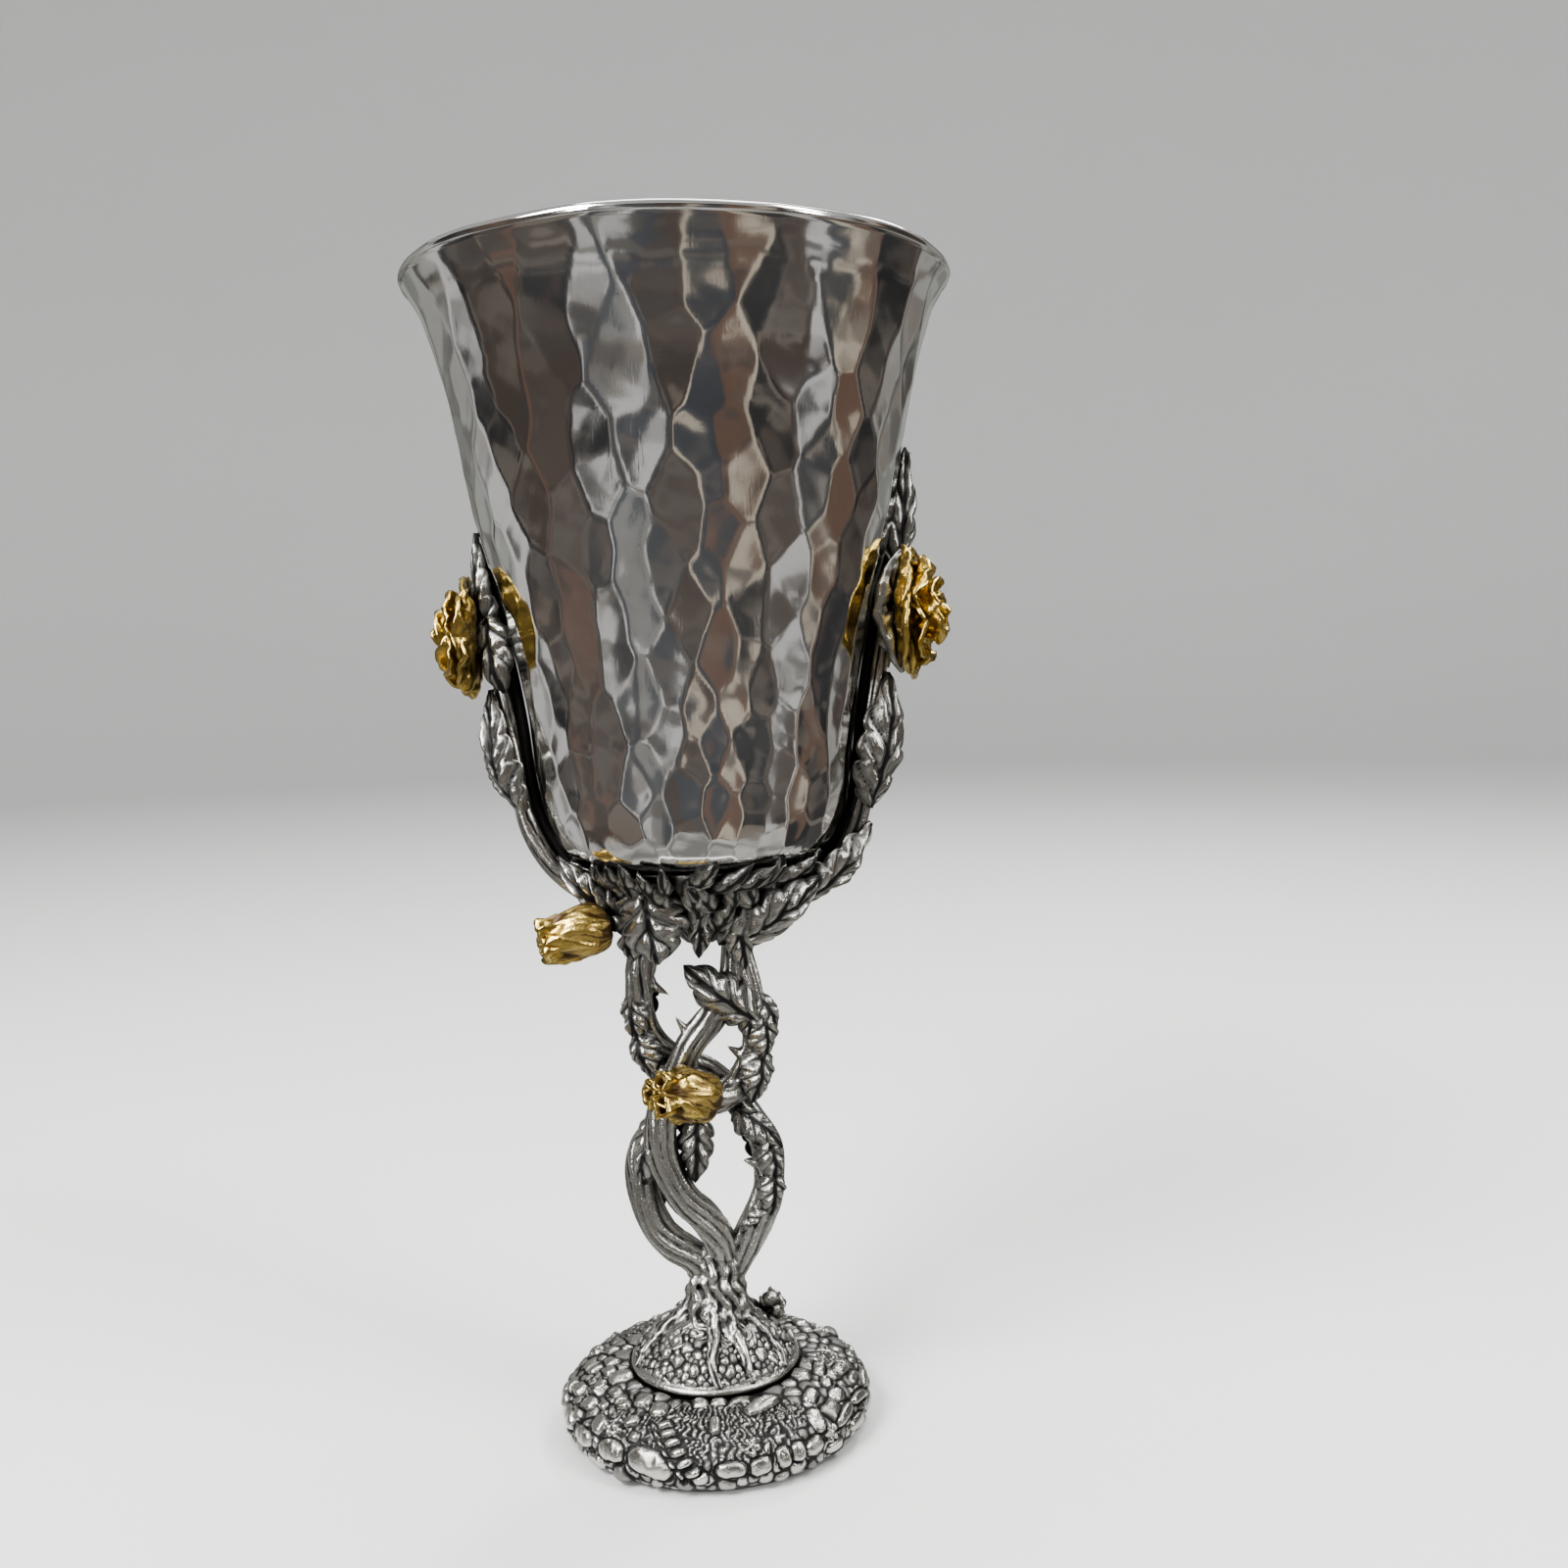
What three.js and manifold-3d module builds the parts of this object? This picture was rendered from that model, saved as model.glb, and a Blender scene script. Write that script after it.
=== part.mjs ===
// A kiddush cup: a hammered silver beaker held in a cast rose bush.
//
// The bush is one casting: a round mound with roots, a short trunk, three twisting vines, a crown of
// leaves under the beaker and two branches that climb its sides. It stands on a wide cast foot. Two
// roses and two buds are cast on their own, gilded, and fixed to the bush.
//
// Millimetres, +Z up. The origin is the centre of the foot's underside. -Y is the front.

import * as THREE from "three";
import { mergeVertices } from "three/addons/utils/BufferGeometryUtils.js";
import Module from "manifold-3d";

const wasm = await Module();
wasm.setup();

// ---------------------------------------------------------------- driving dimensions

const OVERALL_HEIGHT = 165;
const RIM_RADIUS = 38.2;
const GAP = 0.3; // between one piece and the next

const FOOT_RADIUS = 22.7;
const FOOT_EDGE_HEIGHT = 3.8; // where the foot is widest
const FOOT_SEAT_HEIGHT = 8.6; // the flat that carries the mound
const FOOT_WALL = 2.4;
const FOOT_RING_RADIUS = 20.4; // outer edge of the flat ring that the cup stands on
const FOOT_RING_WIDTH = 3.2;

const MOUND_RADIUS = 12.5;
const MOUND_EDGE = 1.1; // thickness of the mound's lip

const VINE_RADIUS = 2;
const BRANCH_RADIUS = 1.2;

const BEAKER_BOTTOM = 83.9; // the beaker's flat bottom rests on the crown here
const BEAKER_FLAT_RADIUS = 14.5;
const BEAKER_WALL = 1.2;
const HAMMER_DEPTH = 0.2; // how far one hammered facet differs from the next

const ROSE_RADIUS = 8.4;
const ROSE_BACK = 29.4; // distance of each rose's flat back from the axis
const LEFT_ROSE = { side: -1, height: 116.2, wide: 1, deep: 0.88, turn: 0 };
const RIGHT_ROSE = { side: 1, height: 118.4, wide: 1.1, deep: 1.1, turn: 14 }; // turned to the front

// ---------------------------------------------------------------- finishes

const silver = new THREE.MeshStandardMaterial({ color: 0xb9b8b2, roughness: 0.16, metalness: 1 });
const pewter = new THREE.MeshStandardMaterial({ color: 0x86837a, roughness: 0.32, metalness: 1 });
const gilding = new THREE.MeshStandardMaterial({ color: 0xd39a34, roughness: 0.24, metalness: 1 });

// ---------------------------------------------------------------- solids

const { clamp, degToRad, lerp } = THREE.MathUtils;
const TURN = 2 * Math.PI;
const vector = (p) => new THREE.Vector3(...p);

// A repeatable stand-in for chance: the same number from -1 to 1 for the same seeds.
function wobble(a, b = 0) {
  const s = Math.sin(a * 127.1 + b * 311.7) * 43758.5453;
  return 2 * (s - Math.floor(s)) - 1;
}

// A closed three.js geometry as a manifold-3d solid, turned right side out if it has to be.
function solid(geometry) {
  const bare = geometry.clone();
  bare.deleteAttribute("normal");
  bare.deleteAttribute("uv");
  const merged = mergeVertices(bare, 1e-4);
  const build = (triVerts) =>
    new wasm.Manifold(
      new wasm.Mesh({ numProp: 3, vertProperties: merged.attributes.position.array, triVerts }),
    );
  const triangles = new Uint32Array(merged.index.array);
  const made = build(triangles);
  return made.volume() > 0 ? made : build(triangles.slice().reverse());
}

// A point at a distance from the axis, a turn round it and a height.
const polar = (radius, turn, height) =>
  new THREE.Vector3(radius * Math.cos(turn), radius * Math.sin(turn), height);

// A ring of points, each placed by its turn and its number.
const around = (columns, place) =>
  Array.from({ length: columns }, (_, i) => place((i / columns) * TURN, i));

// A closed skin over rings that all have as many points, with a fan over both ends.
function loft(rings) {
  const sides = rings[0].length;
  const points = rings.flat();
  const faces = [];
  for (let r = 0; r + 1 < rings.length; r++) {
    for (let i = 0; i < sides; i++) {
      const a = r * sides + i;
      const b = r * sides + ((i + 1) % sides);
      faces.push(a, b, b + sides, a, b + sides, a + sides);
    }
  }
  for (const last of [false, true]) {
    const r = last ? rings.length - 1 : 0;
    const middle = new THREE.Vector3();
    rings[r].forEach((p) => middle.addScaledVector(p, 1 / sides));
    const centre = points.push(middle) - 1;
    for (let i = 0; i < sides; i++) {
      const edge = [r * sides + i, r * sides + ((i + 1) % sides)];
      faces.push(centre, edge[last ? 0 : 1], edge[last ? 1 : 0]);
    }
  }
  return new THREE.BufferGeometry().setFromPoints(points).setIndex(faces);
}

// A round shaft along a smooth curve. radiusAt takes a share of the length, from 0 to 1.
function shaft(points, radiusAt, sides, steps) {
  const curve = new THREE.CatmullRomCurve3(points.map(vector), false, "centripetal");
  const frames = curve.computeFrenetFrames(steps, false);
  const rings = Array.from({ length: steps + 1 }, (_, s) =>
    around(sides, (turn) =>
      curve
        .getPointAt(s / steps)
        .addScaledVector(frames.normals[s], radiusAt(s / steps) * Math.cos(turn))
        .addScaledVector(frames.binormals[s], radiusAt(s / steps) * Math.sin(turn))),
  );
  return solid(loft(rings));
}

// Moves a shape so that its +Y runs from `from` towards `to` and its +Z faces `out`.
function aim(geometry, from, to, out) {
  const along = vector(to).sub(vector(from)).normalize();
  const across = new THREE.Vector3().crossVectors(along, vector(out)).normalize();
  const up = new THREE.Vector3().crossVectors(across, along);
  return geometry.applyMatrix4(
    new THREE.Matrix4().makeBasis(across, along, up).setPosition(vector(from)),
  );
}

// A round body from an outline of [radius, height] pairs that starts and ends on the axis.
const turned = (outline, sides) =>
  solid(new THREE.LatheGeometry(outline.map((p) => new THREE.Vector2(...p)), sides).rotateX(Math.PI / 2));

// A rose leaf: a thin solid from its stalk at `from` to its tip at `to`, with its sides raised along
// the midrib and arched by `arch` of its length. `outline` is the half width at each station.
const LEAF_OUTLINE = [0.24, 0.86, 1.03, 0.86, 0.56, 0.06];

function leaf({ from, to, out, width, arch = 0.14 }) {
  const length = vector(to).distanceTo(vector(from));
  const rings = LEAF_OUTLINE.map((outline, station) => {
    const along = station / (LEAF_OUTLINE.length - 1);
    const half = (width / 2) * outline;
    const ridge = arch * length * Math.sin(Math.PI * along);
    const thick = lerp(1.8, 0.8, along);
    return [
      new THREE.Vector3(half, length * along, ridge + 0.15 * half),
      new THREE.Vector3(0, length * along, ridge + 0.4 * thick),
      new THREE.Vector3(-half, length * along, ridge + 0.15 * half),
      new THREE.Vector3(0, length * along, ridge - 0.6 * thick),
    ];
  });
  return solid(aim(loft(rings), from, to, out));
}

// ---------------------------------------------------------------- the hammered beaker

// The wall's outline, from the flat bottom round a tight corner and up to the flared rim.
const wallOutline = new THREE.SplineCurve(
  [
    [BEAKER_FLAT_RADIUS, BEAKER_BOTTOM],
    [18.6, 85.7],
    [21.1, 90],
    [22.3, 96],
    [23.7, 108],
    [26.2, 120.4],
    [29.1, 132],
    [31.4, 145],
    [33.2, 153.4],
    [35.4, 160.4],
    [RIM_RADIUS, OVERALL_HEIGHT],
  ].map((p) => new THREE.Vector2(...p)),
);

function beaker() {
  const columns = 36;
  const outerRows = 13;
  const innerShares = [1, 0.92, 0.83, 0.65, 0.35, 0.15, 0.06, 0]; // closest where the wall bends most
  const halfStep = TURN / columns / 2;
  const rings = [];
  // Outside, each row of corners is shifted by half a step, so that the faces between are facets.
  for (let row = 0; row <= outerRows; row++) {
    const { x, y } = wallOutline.getPointAt(row / outerRows);
    const depth = row > 0 && row < outerRows ? HAMMER_DEPTH : 0;
    rings.push(
      around(columns, (turn, i) => polar(x + depth * wobble(i, row), turn - row * halfStep, y)),
    );
  }
  for (const share of innerShares) {
    const { x, y } = wallOutline.getPointAt(share);
    const height = Math.max(y, BEAKER_BOTTOM + BEAKER_WALL);
    rings.push(around(columns, (turn) => polar(x - BEAKER_WALL, turn - outerRows * halfStep, height)));
  }
  return solid(loft(rings));
}

// The room that the bush leaves for the beaker: its outside, grown by the gap, with no hollow.
function beakerRoom() {
  const wall = wallOutline.getSpacedPoints(12).map(({ x, y }) => [x + GAP + HAMMER_DEPTH, y]);
  wall[0][1] -= GAP;
  return turned([[0, BEAKER_BOTTOM - GAP], ...wall, [0, OVERALL_HEIGHT]], 36);
}

// ---------------------------------------------------------------- the foot

// The foot's upper surface, as a height for each radius: a quarter of an ellipse down to the edge.
function footHeight(radius) {
  const seat = MOUND_RADIUS - 0.4;
  const share = clamp((radius - seat) / (FOOT_RADIUS - seat), 0, 1);
  return lerp(FOOT_EDGE_HEIGHT, FOOT_SEAT_HEIGHT, Math.sqrt(1 - share ** 2));
}

function foot() {
  const columns = 32;
  const plain = (radius, height) => around(columns, (turn) => polar(radius, turn, height));
  const stony = (radius) =>
    around(columns, (turn, i) => {
      const raised = 0.3 * wobble(Math.floor(i / 2), radius) + 0.12 * wobble(i, radius);
      return polar(radius + 0.3 * raised, turn, footHeight(radius) + raised);
    });
  const ringInside = FOOT_RING_RADIUS - FOOT_RING_WIDTH;
  return solid(
    loft([
      plain(MOUND_RADIUS - 0.4, FOOT_SEAT_HEIGHT),
      ...[14.8, 17.2, 19.4, 21.2].map(stony),
      plain(FOOT_RADIUS, FOOT_EDGE_HEIGHT),
      plain(FOOT_RADIUS - 0.5, 1.7),
      plain(FOOT_RING_RADIUS, 0),
      plain(ringInside, 0),
      plain(ringInside - 1.4, 2.4),
      plain(MOUND_RADIUS, FOOT_SEAT_HEIGHT - FOOT_WALL - 0.8),
    ]),
  );
}

// ---------------------------------------------------------------- the rose bush

// A round dome of pebbles with a plain lip that stands out over the foot.
function mound() {
  const bottom = FOOT_SEAT_HEIGHT + GAP;
  const outline = [
    [MOUND_RADIUS - 0.5, bottom],
    [MOUND_RADIUS, bottom + MOUND_EDGE / 2],
    [MOUND_RADIUS - 0.5, bottom + MOUND_EDGE],
    [10.9, 11.4],
    [8.4, 13.4],
    [5.4, 15.6],
  ];
  const pebble = (i, row) => (row > 2 ? 0.4 * wobble(i, row) : 0);
  return solid(
    loft(outline.map(([radius, height], row) =>
      around(28, (turn, i) => polar(radius, turn, height + pebble(i, row))))),
  );
}

// Roots run down the mound from the trunk, one for each direction in degrees.
const ROOT_DIRECTIONS = [-90, -32, 40, 118, 196];

function root(degrees) {
  const path = [[3, 18], [5.2, 16], [7.8, 14.2], [10.3, 12.1], [12, 10]];
  const points = path.map(([radius, height], k) =>
    polar(radius, degToRad(degrees) + 0.09 * wobble(degrees, k), height).toArray());
  return shaft(points, (share) => lerp(1.5, 0.6, share), 5, 4);
}

const TRUNK = [[0.2, 0, 13], [0.5, 0, 17], [0.9, -0.2, 21], [0.8, -0.3, 25.5]];
const trunk = () => shaft(TRUNK, (share) => lerp(6.2, 3.2, clamp(share * 1.3, 0, 1)), 8, 4);

// A clump of small flowers grows on the mound behind the trunk's right.
const flowerClump = () =>
  [[8.2, 5, 13.4], [9, 4.2, 15], [7.6, 5.2, 16]].map((at) =>
    solid(new THREE.IcosahedronGeometry(1.7).translate(...at)));

// Three vines leave the trunk and twist round each other up to the crown.
const VINES = [
  [ // out to the right, back across behind the others, and up the left side
    [2, 0, 21.5], [4.4, -0.2, 25.4], [6.6, -0.6, 29.4], [8.2, -0.9, 33.2], [8.9, -0.6, 37],
    [8.6, 0.2, 40.8], [6.4, 1.6, 44.6], [3.4, 2.6, 48.4], [-0.4, 2.6, 51.6], [-4.6, 1.4, 54],
    [-7.6, -0.2, 57], [-9.2, -1.2, 61.6], [-9, -1.6, 67], [-8, -1.4, 73],
  ],
  [ // out to the left, across in the middle, and up the right side
    [-0.4, 0, 21.5], [-2.6, -0.2, 24.4], [-5.4, -0.6, 26.8], [-7.8, -0.9, 29.6], [-9.2, -0.9, 33.4],
    [-9.8, -0.5, 37.6], [-9, 0.2, 41.8], [-6, 0.6, 45.2], [-1.6, 0.2, 47.4], [2.6, -0.6, 48.6],
    [5.6, -1.2, 51.6], [7.4, -1.6, 56], [7.4, -1.8, 61], [6.2, -1.6, 66.6], [5, -1.2, 73],
  ],
  [ // in front of both, leaning left and then right
    [0.9, -0.6, 22], [1.2, -1.6, 27], [-1, -2.6, 31.4], [-3.8, -3.4, 35], [-5.8, -3.8, 38.6],
    [-6.9, -3.9, 42.6], [-6.6, -3.8, 46.6], [-5.4, -3.6, 50], [-4, -3.5, 53.4], [-2, -3.4, 57.4],
    [1, -3.2, 61], [3.8, -2.6, 64.4], [4.6, -2, 70],
  ],
];

// Small thorns on the vines, each a cone from its base to its point.
const THORNS = [
  [[-7.6, -1.6, 66], [-4.8, -2.4, 64.4]],
  [[-2.2, -3.6, 58.8], [-4.1, -4.6, 61.8]],
  [[5.4, -1.8, 55], [3.2, -2.6, 56.6]],
  [[6.8, -1, 38.6], [4.2, -1.4, 39.4]],
];

const thorn = ([from, to]) => shaft([from, to], (share) => lerp(1.1, 0.15, share), 4, 1);

// The crown's core: narrow sepals that widen from the vines and end in points round the beaker.
function crownCore() {
  const outline = [[5, 69], [7.2, 73], [9.6, 77], [12.6, 80.6], [16.3, 84]];
  const sepals = 16;
  const rings = outline.map(([radius, height], row) =>
    around(2 * sepals, (turn, i) => {
      const ridge = i % 2 === 0;
      const top = row === outline.length - 1;
      return polar(radius + (ridge ? 0.3 : -0.5), turn, height - (top && !ridge ? 1.4 : 0));
    }),
  );
  const seat = BEAKER_BOTTOM - GAP;
  rings.push(around(2 * sepals, (turn) => polar(BEAKER_FLAT_RADIUS - 0.6, turn, seat)));
  return solid(loft(rings));
}

// Two branches leave the crown and follow the beaker's sides, each up behind its rose.
const BRANCHES = [
  [
    [-9, -3, 76], [-15.4, -3.4, 79.6], [-20.6, -3.2, 83.8], [-23.6, -2.8, 89.2], [-25, -2.2, 96],
    [-26, -1.8, 104], [-27.3, -1.2, 112], [-28.6, -0.8, 120], [-29.6, -0.6, 126],
  ],
  [
    [9, -3, 75.4], [15.6, -3.2, 79], [20.6, -3, 83.8], [23.6, -2.6, 90], [25, -2.2, 98],
    [26.2, -1.8, 106], [27.6, -1.2, 114], [29, -0.8, 122], [30.6, -0.6, 130],
  ],
];

// Puts a shape that faces +Z, with its back at the origin, where a rose sits.
const atRose = (shape, { side, height, turn }) =>
  shape.rotate([0, side * 90, 0]).rotate([0, 0, -side * turn]).translate([side * ROSE_BACK, -1, height]);

// Each rose sits on a round pad that its branch carries.
const rosePad = (place) =>
  atRose(turned([[0, -3], [1.8, -3], [3.2, -GAP], [0, -GAP]], 10), place);

// The room that the bush leaves for each rose: a shallow cone that opens outwards.
function roseRoom(place) {
  const edge = ROSE_RADIUS * place.wide + 0.6;
  return atRose(turned([[0, -GAP], [edge - 3.6, -GAP], [edge, 2], [edge, 9], [0, 9]], 14), place);
}

// Leaves on the vines. Each one's stalk, tip and facing are chosen so that it wraps its vine.
const VINE_LEAVES = [
  { from: [7.6, -3.8, 60.4], to: [-2.6, -5.4, 69], out: [0.2, -1, -0.2], width: 8.6 },
  { from: [6.6, -2.8, 64.4], to: [11.2, -3, 57.8], out: [0.5, -1, 0.2], width: 5.4 },
  { from: [8.6, -2.8, 60.6], to: [7.4, -3.6, 48], out: [0.4, -1, 0], width: 7.6 },
  { from: [-11.2, -2.2, 64.2], to: [-8, -3, 51.6], out: [-0.5, -1, -0.1], width: 5.8 },
  { from: [3.9, -1.6, 46.8], to: [11.8, -2.2, 38.6], out: [0.5, -0.9, 0.4], width: 7 },
  { from: [8.8, -2.2, 40.4], to: [9.2, -2.8, 30.6], out: [0.3, -1, 0], width: 6.2 },
  { from: [9.2, -1.8, 32.6], to: [3.8, -2.6, 28.4], out: [0.3, -1, -0.3], width: 4.8 },
  { from: [-1.6, -2.6, 47.4], to: [-2, -4.2, 37], out: [0.1, -1, -0.1], width: 6.6 },
  { from: [-8.2, -1.8, 46.6], to: [-10.6, -2.2, 37.4], out: [-0.5, -1, 0.2], width: 5 },
  { from: [-8.2, 0.8, 67.4], to: [-9.2, 1.4, 57.4], out: [-0.4, 1, 0], width: 5.2 },
  { from: [6.6, 0.8, 64], to: [7.6, 1.4, 54], out: [0.3, 1, 0], width: 5.2 },
  { from: [7, 2.6, 44.2], to: [9, 2.2, 34.6], out: [0.3, 1, 0], width: 5.6 },
  { from: [-9.2, 1.2, 41.4], to: [-7.2, 1.4, 31], out: [-0.3, 1, 0], width: 5.2 },
];

// The crown's front leaves are broad and each has a place of its own.
const CROWN_FRONT_LEAVES = [
  { from: [-7.6, -9.6, 82.2], to: [-5.8, -10.8, 71.4], out: [-0.2, -1, -0.1], width: 10.4, arch: 0.1 },
  { from: [-0.6, -9, 80.4], to: [-0.8, -8.6, 73.2], out: [0, -1, -0.2], width: 3.4, arch: 0.1 },
  { from: [2.4, -5.8, 72.4], to: [16.6, -8.8, 81], out: [0.3, -1, -0.5], width: 9 },
  { from: [12.4, -5.2, 77.6], to: [25.4, -3.8, 88], out: [0.5, -0.8, -0.6], width: 7.4 },
  { from: [-9.6, -5, 76.4], to: [-20, -5.6, 85], out: [-0.4, -0.9, -0.5], width: 5.2 },
];

// Round the back they repeat.
const CROWN_BACK_LEAVES = [20, 55, 90, 125, 160].map((degrees) => {
  const at = (radius, height) => polar(radius, degToRad(degrees), height).toArray();
  return { from: at(7, 71.4), to: at(18, 83.4), out: at(1, -0.8), width: 8.6, arch: 0.08 };
});

// The branches' leaves, from the lowest up. They stand clear of the beaker's wall.
const BRANCH_LEAVES = [
  { from: [-24.6, -3.2, 91], to: [-28.4, -2.8, 108.8], out: [-0.7, -0.7, 0], width: 7, arch: 0.1 },
  { from: [-27.4, -3, 118.8], to: [-26.4, -5.2, 108.4], out: [-0.5, -0.9, 0], width: 5.4, arch: 0.1 },
  { from: [-28, -1.6, 117], to: [-29.5, -1.4, 130.8], out: [-0.7, -0.7, 0], width: 5, arch: 0.04 },
  { from: [24.4, -3.4, 91], to: [28, -3, 109.4], out: [0.5, -0.8, 0], width: 8.6, arch: 0.1 },
  { from: [27, -3, 109.6], to: [27.6, -4, 127], out: [0.2, -1, 0], width: 6, arch: 0.12 },
  { from: [28.8, -1.6, 124], to: [31.2, -1.2, 141.4], out: [0.4, -0.9, 0], width: 5.6, arch: 0.04 },
];

// ---------------------------------------------------------------- the gilded roses and buds

// How far a petal's edge stands out at a turn, from 0 in the notch between two petals to 1.
const petalEdge = (turn, petals) => Math.abs(Math.sin((turn * petals) / 2)) ** 0.6;

// The rose's skin, from its flat back over three layers of petals to its heart. Each row has its
// radius, its height over the back, and the number of petals that its edge has.
const ROSE_ROWS = [
  { radius: 3, height: 0, petals: 0 },
  { radius: 5.4, height: 0.6, petals: 5 },
  { radius: ROSE_RADIUS, height: 2.2, petals: 5 },
  { radius: ROSE_RADIUS - 0.4, height: 3, petals: 5 },
  { radius: 5.4, height: 2.6, petals: 5 },
  { radius: 6.6, height: 4.8, petals: 4 },
  { radius: 6, height: 5.3, petals: 4 },
  { radius: 3.6, height: 3.6, petals: 4 },
  { radius: 4, height: 6.5, petals: 3 },
  { radius: 3.4, height: 6.8, petals: 3 },
  { radius: 1.9, height: 5, petals: 3 },
  { radius: 1.2, height: 7, petals: 0 },
];

function rose(place) {
  const rings = ROSE_ROWS.map(({ radius, height, petals }, row) =>
    around(16, (turn, i) => {
      // Each layer is turned a little, so that its petals cover the notches of the next.
      const edge = petals ? petalEdge(turn + petals, petals) : 1;
      const crumple = petals ? 0.3 * wobble(i, row) : 0;
      return polar(place.wide * radius * lerp(0.8, 1, edge), turn, place.deep * (height + crumple + 0.5 * (edge - 1)));
    }),
  );
  rings[0].forEach((p) => p.setZ(0));
  return atRose(solid(loft(rings)), place);
}

// A bud: an egg of wrapped petals, ridged along its length, with a ruffled hollow at its open tip.
const BUD_ROWS = [[0.34, 0], [0.74, 0.1], [1, 0.34], [0.96, 0.6], [0.76, 0.84], [0.66, 1], [0.3, 0.86]];

function bud({ from, to, radius }) {
  const length = vector(to).distanceTo(vector(from));
  const rings = BUD_ROWS.map(([wide, along], row) =>
    around(12, (turn, i) => {
      const ridge = 1 + (i % 2 ? 0.06 : -0.04) * Math.min(1, row / 2);
      const ruffle = row > 3 ? 0.4 * wobble(i, row) : 0;
      const { x, y } = polar(radius * wide * ridge, turn + 0.15 * row, 0);
      return new THREE.Vector3(x, length * along + ruffle, y);
    }),
  );
  return solid(aim(loft(rings), from, to, [0, -1, 0.2]));
}

// The room that the bush leaves for a bud: the same egg, a little larger and without its hollow.
function budRoom({ from, to, radius }) {
  const length = vector(to).distanceTo(vector(from)) + GAP;
  const outline = [[0, -GAP], [0.5, -GAP], [0.8, 0.1 * length], [1.08, 0.34 * length],
    [1.04, 0.6 * length], [0.84, 0.84 * length], [0.72, length + 1], [0, length + 1]];
  const egg = outline.map(([wide, along]) => new THREE.Vector2((radius + GAP) * wide, along));
  return solid(aim(new THREE.LatheGeometry(egg, 12), from, to, [0, -1, 0.2]));
}

const CROWN_BUD = { from: [-12.4, -7.6, 75.8], to: [-21.8, -9.4, 74.4], radius: 3.6 };
const STEM_BUD = { from: [1.4, -5.6, 50], to: [-6.8, -11.2, 52.6], radius: 3.7 };

// Short stalks join the buds to the bush.
const BUD_STALKS = [
  [[-7, -3.6, 76.2], [-12.2, -7.4, 75.9]],
  [[4.4, -1.4, 51], [4, -3.8, 49.8], [1.6, -5.4, 49.9]],
];

// ---------------------------------------------------------------- assembly

function bush() {
  const wood = [
    mound(),
    trunk(),
    crownCore(),
    ...ROOT_DIRECTIONS.map(root),
    ...flowerClump(),
    ...VINES.map((points) => shaft(points, (share) => VINE_RADIUS * lerp(1.15, 0.95, share), 6, 18)),
    ...THORNS.map(thorn),
    ...BRANCHES.map((points) => shaft(points, (share) => BRANCH_RADIUS * lerp(1.3, 0.7, share), 5, 10)),
    ...BUD_STALKS.map((points) => shaft(points, () => 1.2, 5, 2)),
    rosePad(LEFT_ROSE),
    rosePad(RIGHT_ROSE),
  ];
  const leaves = [...VINE_LEAVES, ...CROWN_FRONT_LEAVES, ...CROWN_BACK_LEAVES, ...BRANCH_LEAVES].map(leaf);
  const rooms = [beakerRoom(), roseRoom(LEFT_ROSE), roseRoom(RIGHT_ROSE), budRoom(CROWN_BUD), budRoom(STEM_BUD)];
  return rooms.reduce((left, room) => left.subtract(room), wasm.Manifold.union([...wood, ...leaves]));
}

// Turns a solid back into a mesh with its own name and finish.
function piece(name, made, finish) {
  const { vertProperties, triVerts } = made.getMesh();
  const geometry = new THREE.BufferGeometry()
    .setAttribute("position", new THREE.BufferAttribute(vertProperties, 3))
    .setIndex(new THREE.BufferAttribute(triVerts, 1));
  const mesh = new THREE.Mesh(geometry, finish);
  mesh.name = name;
  return mesh;
}

const cup = new THREE.Group();
cup.add(
  piece("hammered_beaker", beaker(), silver),
  piece("rose_bush_stem", bush(), pewter),
  piece("foot", foot(), pewter),
  piece("left_rose", rose(LEFT_ROSE), gilding),
  piece("right_rose", rose(RIGHT_ROSE), gilding),
  piece("crown_bud", bud(CROWN_BUD), gilding),
  piece("stem_bud", bud(STEM_BUD), gilding),
);

export default cup;
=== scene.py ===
# %% [markdown]
# # A kiddush cup in a rose bush
#
# A kiddush cup holds the wine for the blessing over the Sabbath and the feasts. This one is a silver
# beaker, hammered all over, that stands in a cast rose bush: roots, a trunk, three twisting vines, a
# crown of leaves and two branches that climb the beaker's sides. Two roses and two buds are gilded.
#
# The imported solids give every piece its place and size. This script dresses them, piece by piece.

# %% Load the solids that set every size
import math

import bpy
import numpy as np
from mathutils import Matrix, Vector, kdtree


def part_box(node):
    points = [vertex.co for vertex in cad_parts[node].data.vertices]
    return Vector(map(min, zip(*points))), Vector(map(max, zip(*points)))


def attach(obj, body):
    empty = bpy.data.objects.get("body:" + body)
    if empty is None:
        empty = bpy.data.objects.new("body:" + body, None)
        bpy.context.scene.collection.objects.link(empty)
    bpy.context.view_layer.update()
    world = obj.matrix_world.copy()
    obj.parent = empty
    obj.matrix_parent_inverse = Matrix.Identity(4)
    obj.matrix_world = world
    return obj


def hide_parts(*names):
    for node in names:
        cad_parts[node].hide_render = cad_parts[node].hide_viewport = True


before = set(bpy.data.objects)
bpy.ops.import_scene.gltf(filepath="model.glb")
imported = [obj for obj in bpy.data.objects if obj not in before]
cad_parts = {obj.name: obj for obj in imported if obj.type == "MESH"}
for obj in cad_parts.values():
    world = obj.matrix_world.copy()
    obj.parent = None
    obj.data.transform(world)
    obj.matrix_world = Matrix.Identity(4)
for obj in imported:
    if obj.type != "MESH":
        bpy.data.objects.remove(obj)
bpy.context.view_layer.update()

MM = 0.001
TURN = 2 * math.pi


def span(node):
    """The lowest and the highest corner of a solid, in millimetres."""
    low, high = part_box(node)
    return np.array(low) / MM, np.array(high) / MM


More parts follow.
